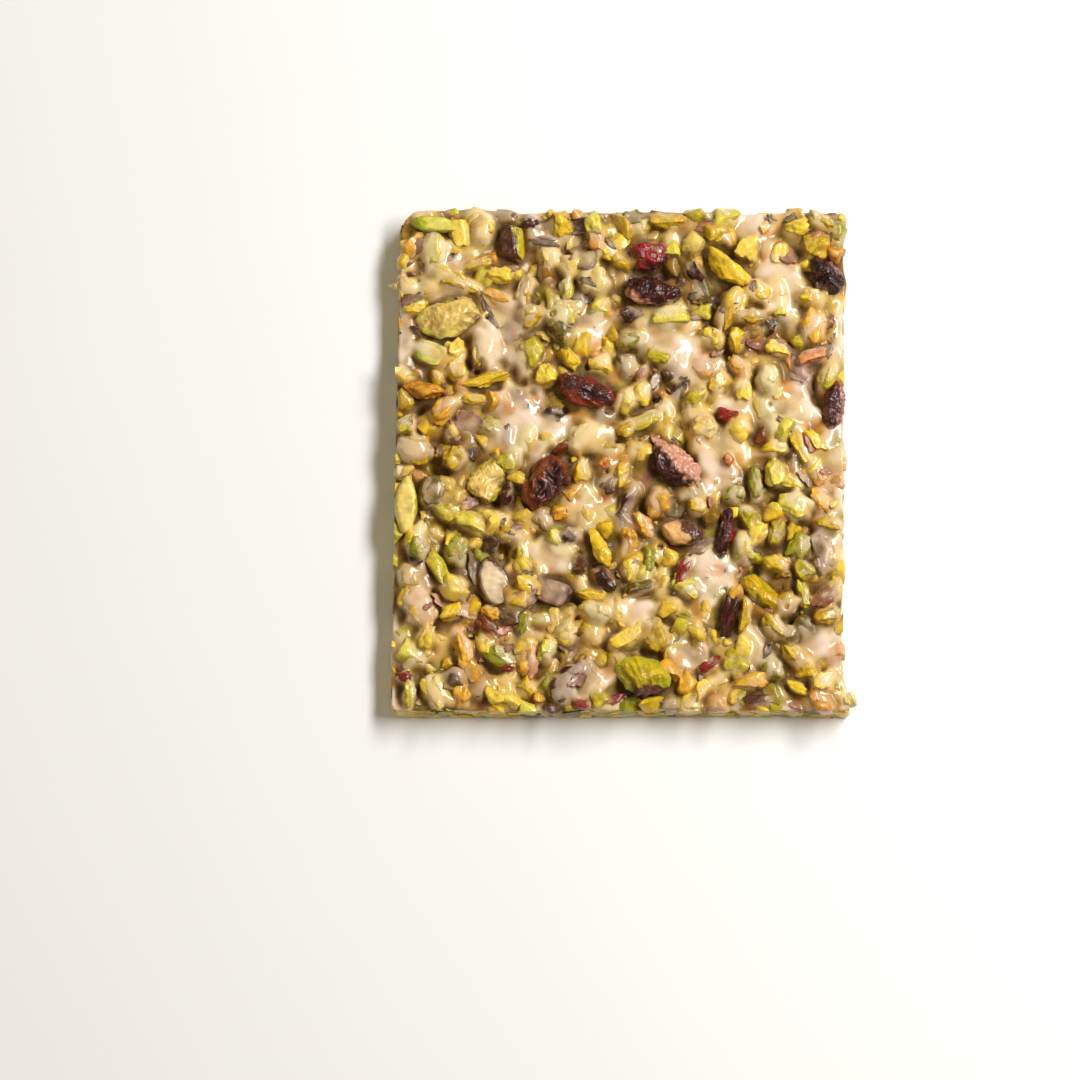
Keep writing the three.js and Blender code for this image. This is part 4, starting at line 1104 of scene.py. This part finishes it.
class Value:
    """A shader value. Sums and products of it add Math nodes."""

    def __init__(self, finish, socket):
        self.finish, self.socket = finish, socket

    def _math(self, operation, a, b):
        return self.finish.node("ShaderNodeMath", {"operation": operation}, {0: a, 1: b})["Value"]

    def __add__(self, other): return self._math("ADD", self, other)
    def __radd__(self, other): return self._math("ADD", other, self)
    def __sub__(self, other): return self._math("SUBTRACT", self, other)
    def __rsub__(self, other): return self._math("SUBTRACT", other, self)
    def __mul__(self, other): return self._math("MULTIPLY", self, other)
    def __rmul__(self, other): return self._math("MULTIPLY", other, self)

    def between(self, low, high):
        """0 at low and 1 at high, with a soft step between."""
        given = {"Value": self, "From Min": low, "From Max": high}
        return self.finish.node("ShaderNodeMapRange", {"interpolation_type": "SMOOTHSTEP"}, given)["Result"]


class Made:
    """A node, whose outputs are read by name or number."""

    def __init__(self, finish, node):
        self.finish, self.made = finish, node

    def __getitem__(self, name):
        return Value(self.finish, self.made.outputs[name])


class Finish:
    """A material under construction."""

    def __init__(self, name):
        self.material = bpy.data.materials.new(name)
        self.material.use_nodes = True
        self.tree = self.material.node_tree
        self.tree.nodes.clear()
        self.place = self.node("ShaderNodeTexCoord", {}, {})["Object"]

    def node(self, kind, settings, sockets):
        """A node of that type, with its settings and then the values or links of its sockets."""
        made = self.tree.nodes.new(kind)
        for key, value in settings.items():
            setattr(made, key, value)
        for key, value in sockets.items():
            if isinstance(value, Value):
                self.tree.links.new(value.socket, made.inputs[key])
            else:
                made.inputs[key].default_value = value
        return Made(self, made)

    def noise(self, size, detail=3, roughness=0.55, distortion=0.0):
        """Noise from 0 to 1 with humps about size millimetres apart."""
        sockets = {"Vector": self.place, "Scale": 1 / (size * MM), "Detail": detail,
                   "Roughness": roughness, "Distortion": distortion}
        return self.node("ShaderNodeTexNoise", {}, sockets)["Fac"]

    def cells(self, size):
        """How far points lie from scattered spots about size millimetres apart."""
        sockets = {"Vector": self.place, "Scale": 1 / (size * MM)}
        return self.node("ShaderNodeTexVoronoi", {}, sockets)["Distance"]

    def stored(self, name, output="Fac"):
        """A value or colour kept on the mesh."""
        return self.node("ShaderNodeAttribute", {"attribute_name": name}, {})[output]

    def mixed(self, share, first, second, way="MIX"):
        """Colours mixed: the second one by that share."""
        settings = {"data_type": "RGBA", "blend_type": way}
        return self.node("ShaderNodeMix", settings, {0: share, 6: first, 7: second})[2]

    def surface(self, varying, constant, bumps):
        """The shader: what varies, what doesn't, and bumps, each a value and a depth in millimetres."""
        normal = None
        for value, depth in bumps:
            sockets = {"Height": value, "Distance": depth * MM, "Strength": 1.0}
            if normal is not None:
                sockets["Normal"] = normal
            normal = self.node("ShaderNodeBump", {}, sockets)["Normal"]
        shader = self.node("ShaderNodeBsdfPrincipled", {}, {**constant, **varying, "Normal": normal})
        self.node("ShaderNodeOutputMaterial", {}, {"Surface": shader["BSDF"]})
        return self.material


def caramel_finish():
    """Glossy milky caramel, clouded and a little gritty, dull in its deep hollows."""
    f = Finish("milky_caramel")
    cloud, grit, deep = f.noise(3.2, 4), f.noise(0.7, 3), f.stored("deep")
    colour = f.stored("tint", "Color")
    colour = f.mixed(f.noise(4.5, 3).between(0.52, 0.72) * 0.3, colour, (0.64, 0.52, 0.14, 1))
    colour = f.mixed(cloud.between(0.35, 0.75) * 0.15, colour, (0.88, 0.7, 0.45, 1))
    colour = f.mixed(grit.between(0.62, 0.78) * 0.2, colour, (0.4, 0.26, 0.1, 1))
    return f.surface(
        {"Base Color": colour, "Roughness": 0.12 + 0.16 * cloud + 0.45 * deep,
         "Coat Weight": 0.85 - 0.8 * deep},
        {"Subsurface Weight": 0.45, "Subsurface Radius": (1.0, 0.6, 0.28), "Subsurface Scale": 0.001,
         "Specular IOR Level": 0.15, "Coat Roughness": 0.04},
        [(f.noise(3.0, 2), 0.16), (f.noise(1.3, 2), 0.07), (grit, 0.03)],
    )


def nut_finish(name, depth, fleck, gloss):
    """Pistachio flesh: how deep its bumps are in millimetres, how strong its flecks and how glossy."""
    f = Finish(name)
    grain, crumb, film = f.noise(1.1, 4, 0.6), f.noise(0.4, 3, 0.6), f.stored("film")
    colour = f.stored("tint", "Color")
    green, orange = f.noise(2.4, 2).between(0.52, 0.68), f.noise(3.1, 2).between(0.54, 0.7)
    colour = f.mixed(green * fleck, colour, (0.4, 0.42, 0.03, 1), "SOFT_LIGHT")
    colour = f.mixed(orange * fleck, colour, (0.8, 0.4, 0.03, 1), "SOFT_LIGHT")
    colour = f.mixed(grain.between(0.54, 0.76) * fleck, colour, (0.94, 0.72, 0.26, 1))
    colour = f.mixed(grain.between(0.46, 0.26) * fleck, colour, (0.34, 0.2, 0.006, 1))
    colour = f.mixed(film * grain * 0.4, colour, (0.8, 0.63, 0.38, 1))
    return f.surface(
        {"Base Color": colour, "Roughness": 0.46 - 0.2 * film - 0.3 * crumb,
         "Coat Weight": gloss + 0.3 * film},
        {"Coat Roughness": 0.05, "Specular IOR Level": 0.3, "Subsurface Weight": 0.15,
         "Subsurface Radius": (1.0, 0.8, 0.2), "Subsurface Scale": 0.0006},
        [(grain, depth), (crumb, 0.6 * depth)],
    )


def berry_finish():
    """Dried berry: wrinkled and pored, with painted light on its ridges and painted shade, nearly black,
    in its folds.
    """
    f = Finish("dried_cranberry")
    wrinkle, pore, film = f.noise(1.4, 4, 0.6, 0.3), f.cells(0.42), f.stored("film")
    colour = f.stored("tint", "Color")
    # Painted light on the wrinkles' ridges and painted shade in their folds, where the bumps sink.
    colour = f.mixed(wrinkle.between(0.52, 0.72) * 0.35, colour, (0.36, 0.06, 0.05, 1))
    colour = f.mixed(wrinkle.between(0.45, 0.28) * 0.4, colour, (0.03, 0.008, 0.012, 1))
    colour = f.mixed(film * 0.2, colour, (0.6, 0.42, 0.28, 1))
    return f.surface(
        {"Base Color": colour, "Roughness": 0.2 + 0.2 * wrinkle, "Coat Weight": 0.4 + 0.3 * film},
        {"Coat Roughness": 0.04, "Specular IOR Level": 0.3, "Subsurface Weight": 0.15,
         "Subsurface Radius": (1.0, 0.25, 0.2), "Subsurface Scale": 0.0008},
        [(wrinkle, 0.24), (f.noise(0.5, 3), 0.13), (pore, 0.05)],
    )


def skin_finish():
    """Thin brown nut skin, veined and a little glazed."""
    f = Finish("nut_skin")
    vein, film = f.noise(0.9, 4, 0.65, 0.4), f.stored("film")
    colour = f.stored("tint", "Color")
    colour = f.mixed(vein.between(0.5, 0.7) * 0.5, colour, (0.42, 0.28, 0.22, 1))
    colour = f.mixed(film * 0.5, colour, (0.66, 0.5, 0.34, 1))
    return f.surface(
        {"Base Color": colour, "Roughness": 0.42 - 0.2 * film, "Coat Weight": 0.15 + 0.3 * film},
        {"Coat Roughness": 0.08, "Specular IOR Level": 0.5},
        [(vein, 0.16)],
    )


# ---------------------------------------------------------------- making the tile

rng = np.random.default_rng(TILE_SEED)
caramel_look, berry_look, skin_look = caramel_finish(), berry_finish(), skin_finish()
nut_look = nut_finish("chopped_pistachio", 0.26, 0.45, 0.4)
kernel_look = nut_finish("whole_pistachio", 0.05, 0.2, 0.4)

large, whole = top_bits(), [whole_bit(node) for node in WHOLE]
for x, y, length, width, turn, tint in SMALL_BERRIES:
    z = float(level_at(x, y)) + 0.1 * width
    large.append(Bit(x, y, z, length, width, THICKNESS * width, turn, tint))
buried, sides = buried_bits(rng), side_bits(rng)
dry = dryness(rng)
sunk = sunk_heights(buried, dry, rng)
chips = crowded_bits(rng, large + whole, sunk, dry, CHIPS)
crumbs = crowded_bits(rng, large + whole + chips, sunk, dry, CRUMBS)
for x, y, z, length, width, turn, tint in EDGE_BITS:
    large.append(Bit(x, y, z, length, width, THICKNESS * width, turn, tint))

heights = wetted_heights(sunk, whole + large + chips + crumbs, dry, rng)
grid_tints, deep, thin_shaded_grid = caramel_colours(heights, buried + whole + large + chips + crumbs, dry, rng)
points, faces, tints = caramel_mesh(heights, grid_tints, sides)
dull = (deep[..., 0] + 0.4 * thin_shaded_grid * (1 - deep[..., 0])).ravel()
dull = np.append(dull, np.full(len(points) - dull.size, 0.4))
pieces = [(plain_object("caramel", points, faces, tints, caramel_look, deep=dull), "caramel")]

berry_tints = {tint for *_, tint in CHOPPED_BERRIES} | {"ink", "plum", "mauve"}
nut_bits = [b for b in large if b.tint not in berry_tints]
berry_bits = [b for b in large if b.tint in berry_tints]
for name, (points, faces, tints, film), look, slot in [
    ("chopped_nuts", large_pieces(nut_bits, heights, rng), nut_look, "kernel"),
    ("chopped_berries", large_pieces(berry_bits, heights, rng), berry_look, "cranberry"),
    ("nut_skins", skin_pieces(SKINS + loose_skins(dry, rng), heights, rng), skin_look, "kernel"),
]:
    pieces.append((plain_object(name, points, faces, tints, look, film=film), slot))

tree, inputs = setting_tree()
for name, bits, steps, at_side in [
    ("chips", chips, 3, False), ("crumbs", crumbs, 2, False), ("edge_chips", sides, 2, True),
]:
    shapes = chip_shapes(name + "_shape", CHIP_SHAPES, steps, rng)
    made = set_chips(name, bits, shapes, tree, inputs, rng, nut_look)
    pieces.append((finish_chips(made, heights, rng, at_side), "kernel"))
    for shape in list(shapes.objects):
        bpy.data.objects.remove(shape)
for piece, slot in pieces:
    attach(piece, "root")
    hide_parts("brittle")
for node in WHOLE:
    nut = node.startswith("pistachio")
    look, slot = (kernel_look, "kernel") if nut else (berry_look, "cranberry")
    folds = FURROWS.get(node, NUT_FURROW if nut else BERRY_FURROW)
    grain = NUT_GRAIN * folds if nut else BERRY_GRAIN
    piece = whole_piece(node, heights, rng, look, folds, grain)
    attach(piece, "root")
    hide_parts(node)

# ---------------------------------------------------------------- floor, light and camera

TABLE_REACH, TABLE_DROP = 6.0, 2e-5  # metres
TABLE_WHITES = (0.885, 0.905, 0.945, 1), (0.905, 0.925, 0.965, 1)
# Soft boxes: place, width and length in metres, power and colour.
SOFT_BOXES = {
    "window": ((0.46, 0.24, 0.66), 0.2, 0.75, 9.3, (0.985, 0.974, 0.945)),
    "fill": ((-0.5, -0.3, 0.8), 0.8, 0.8, 1.65, (1, 0.88, 0.66)),
}
ROOM_LIGHT, ROOM_STRENGTH = (1, 0.83, 0.5, 1), 0.15
# The photograph is taken from 76 degrees up; its middle lies left of and below the tile's middle.
ELEVATION = math.radians(76)
PIXELS_PER_MM, FRAME_PIXELS, TILE_PIXEL = 4.705, 1080, (622, 457)
LENS, SENSOR = 300, 36


def soft_light(name, place, across, along, power, colour):
    """A soft box that faces the tile, with its long side along the table's depth."""
    light = bpy.data.lights.new(name, "AREA")
    light.shape, light.size, light.size_y = "RECTANGLE", across, along
    light.energy, light.color = power, colour
    lamp = set_out(name, light)
    lamp.location = place
    away = Vector(place).normalized()
    right = Vector((0, 1, 0)).cross(away).normalized()
    lamp.rotation_euler = Matrix((right, away.cross(right), away)).transposed().to_euler()


table_top = bpy.data.meshes.new("table_top")
corners = [(x * TABLE_REACH, y * TABLE_REACH, -TABLE_DROP) for x, y in ((-1, -1), (1, -1), (1, 1), (-1, 1))]
table_top.from_pydata(corners, [], [(0, 1, 2, 3)])
table = set_out("table", table_top)
white = Finish("white_table")
table_top.materials.append(white.surface(
    {"Base Color": white.mixed(white.noise(60, 2), *TABLE_WHITES), "Roughness": 0.6}, {},
    [(white.noise(2.0, 2), 0.01)],
))

for name, settings in SOFT_BOXES.items():
    soft_light(name, *settings)
world = bpy.data.worlds.new("studio")
world.use_nodes = True
world.node_tree.nodes["Background"].inputs["Color"].default_value = ROOM_LIGHT
world.node_tree.nodes["Background"].inputs["Strength"].default_value = ROOM_STRENGTH
bpy.context.scene.world = world
bpy.context.scene.view_settings.view_transform = "Standard"

right_shift = (FRAME_PIXELS / 2 - TILE_PIXEL[0]) / PIXELS_PER_MM
up_shift = (TILE_PIXEL[1] - FRAME_PIXELS / 2) / PIXELS_PER_MM
picture_up = Vector((0, math.sin(ELEVATION), math.cos(ELEVATION)))
back = Vector((0, -math.cos(ELEVATION), math.sin(ELEVATION)))
middle = Vector((right_shift, 0, LEVEL)) + picture_up * up_shift
distance = FRAME_PIXELS / PIXELS_PER_MM * LENS / SENSOR
camera = set_out("camera", bpy.data.cameras.new("camera"))
camera.data.lens, camera.data.sensor_width = LENS, SENSOR
camera.data.clip_start, camera.data.clip_end = 0.05, 20
camera.location = (middle + back * distance) * MM
camera.rotation_euler = (-back).to_track_quat("-Z", "Y").to_euler()
bpy.context.scene.camera = camera
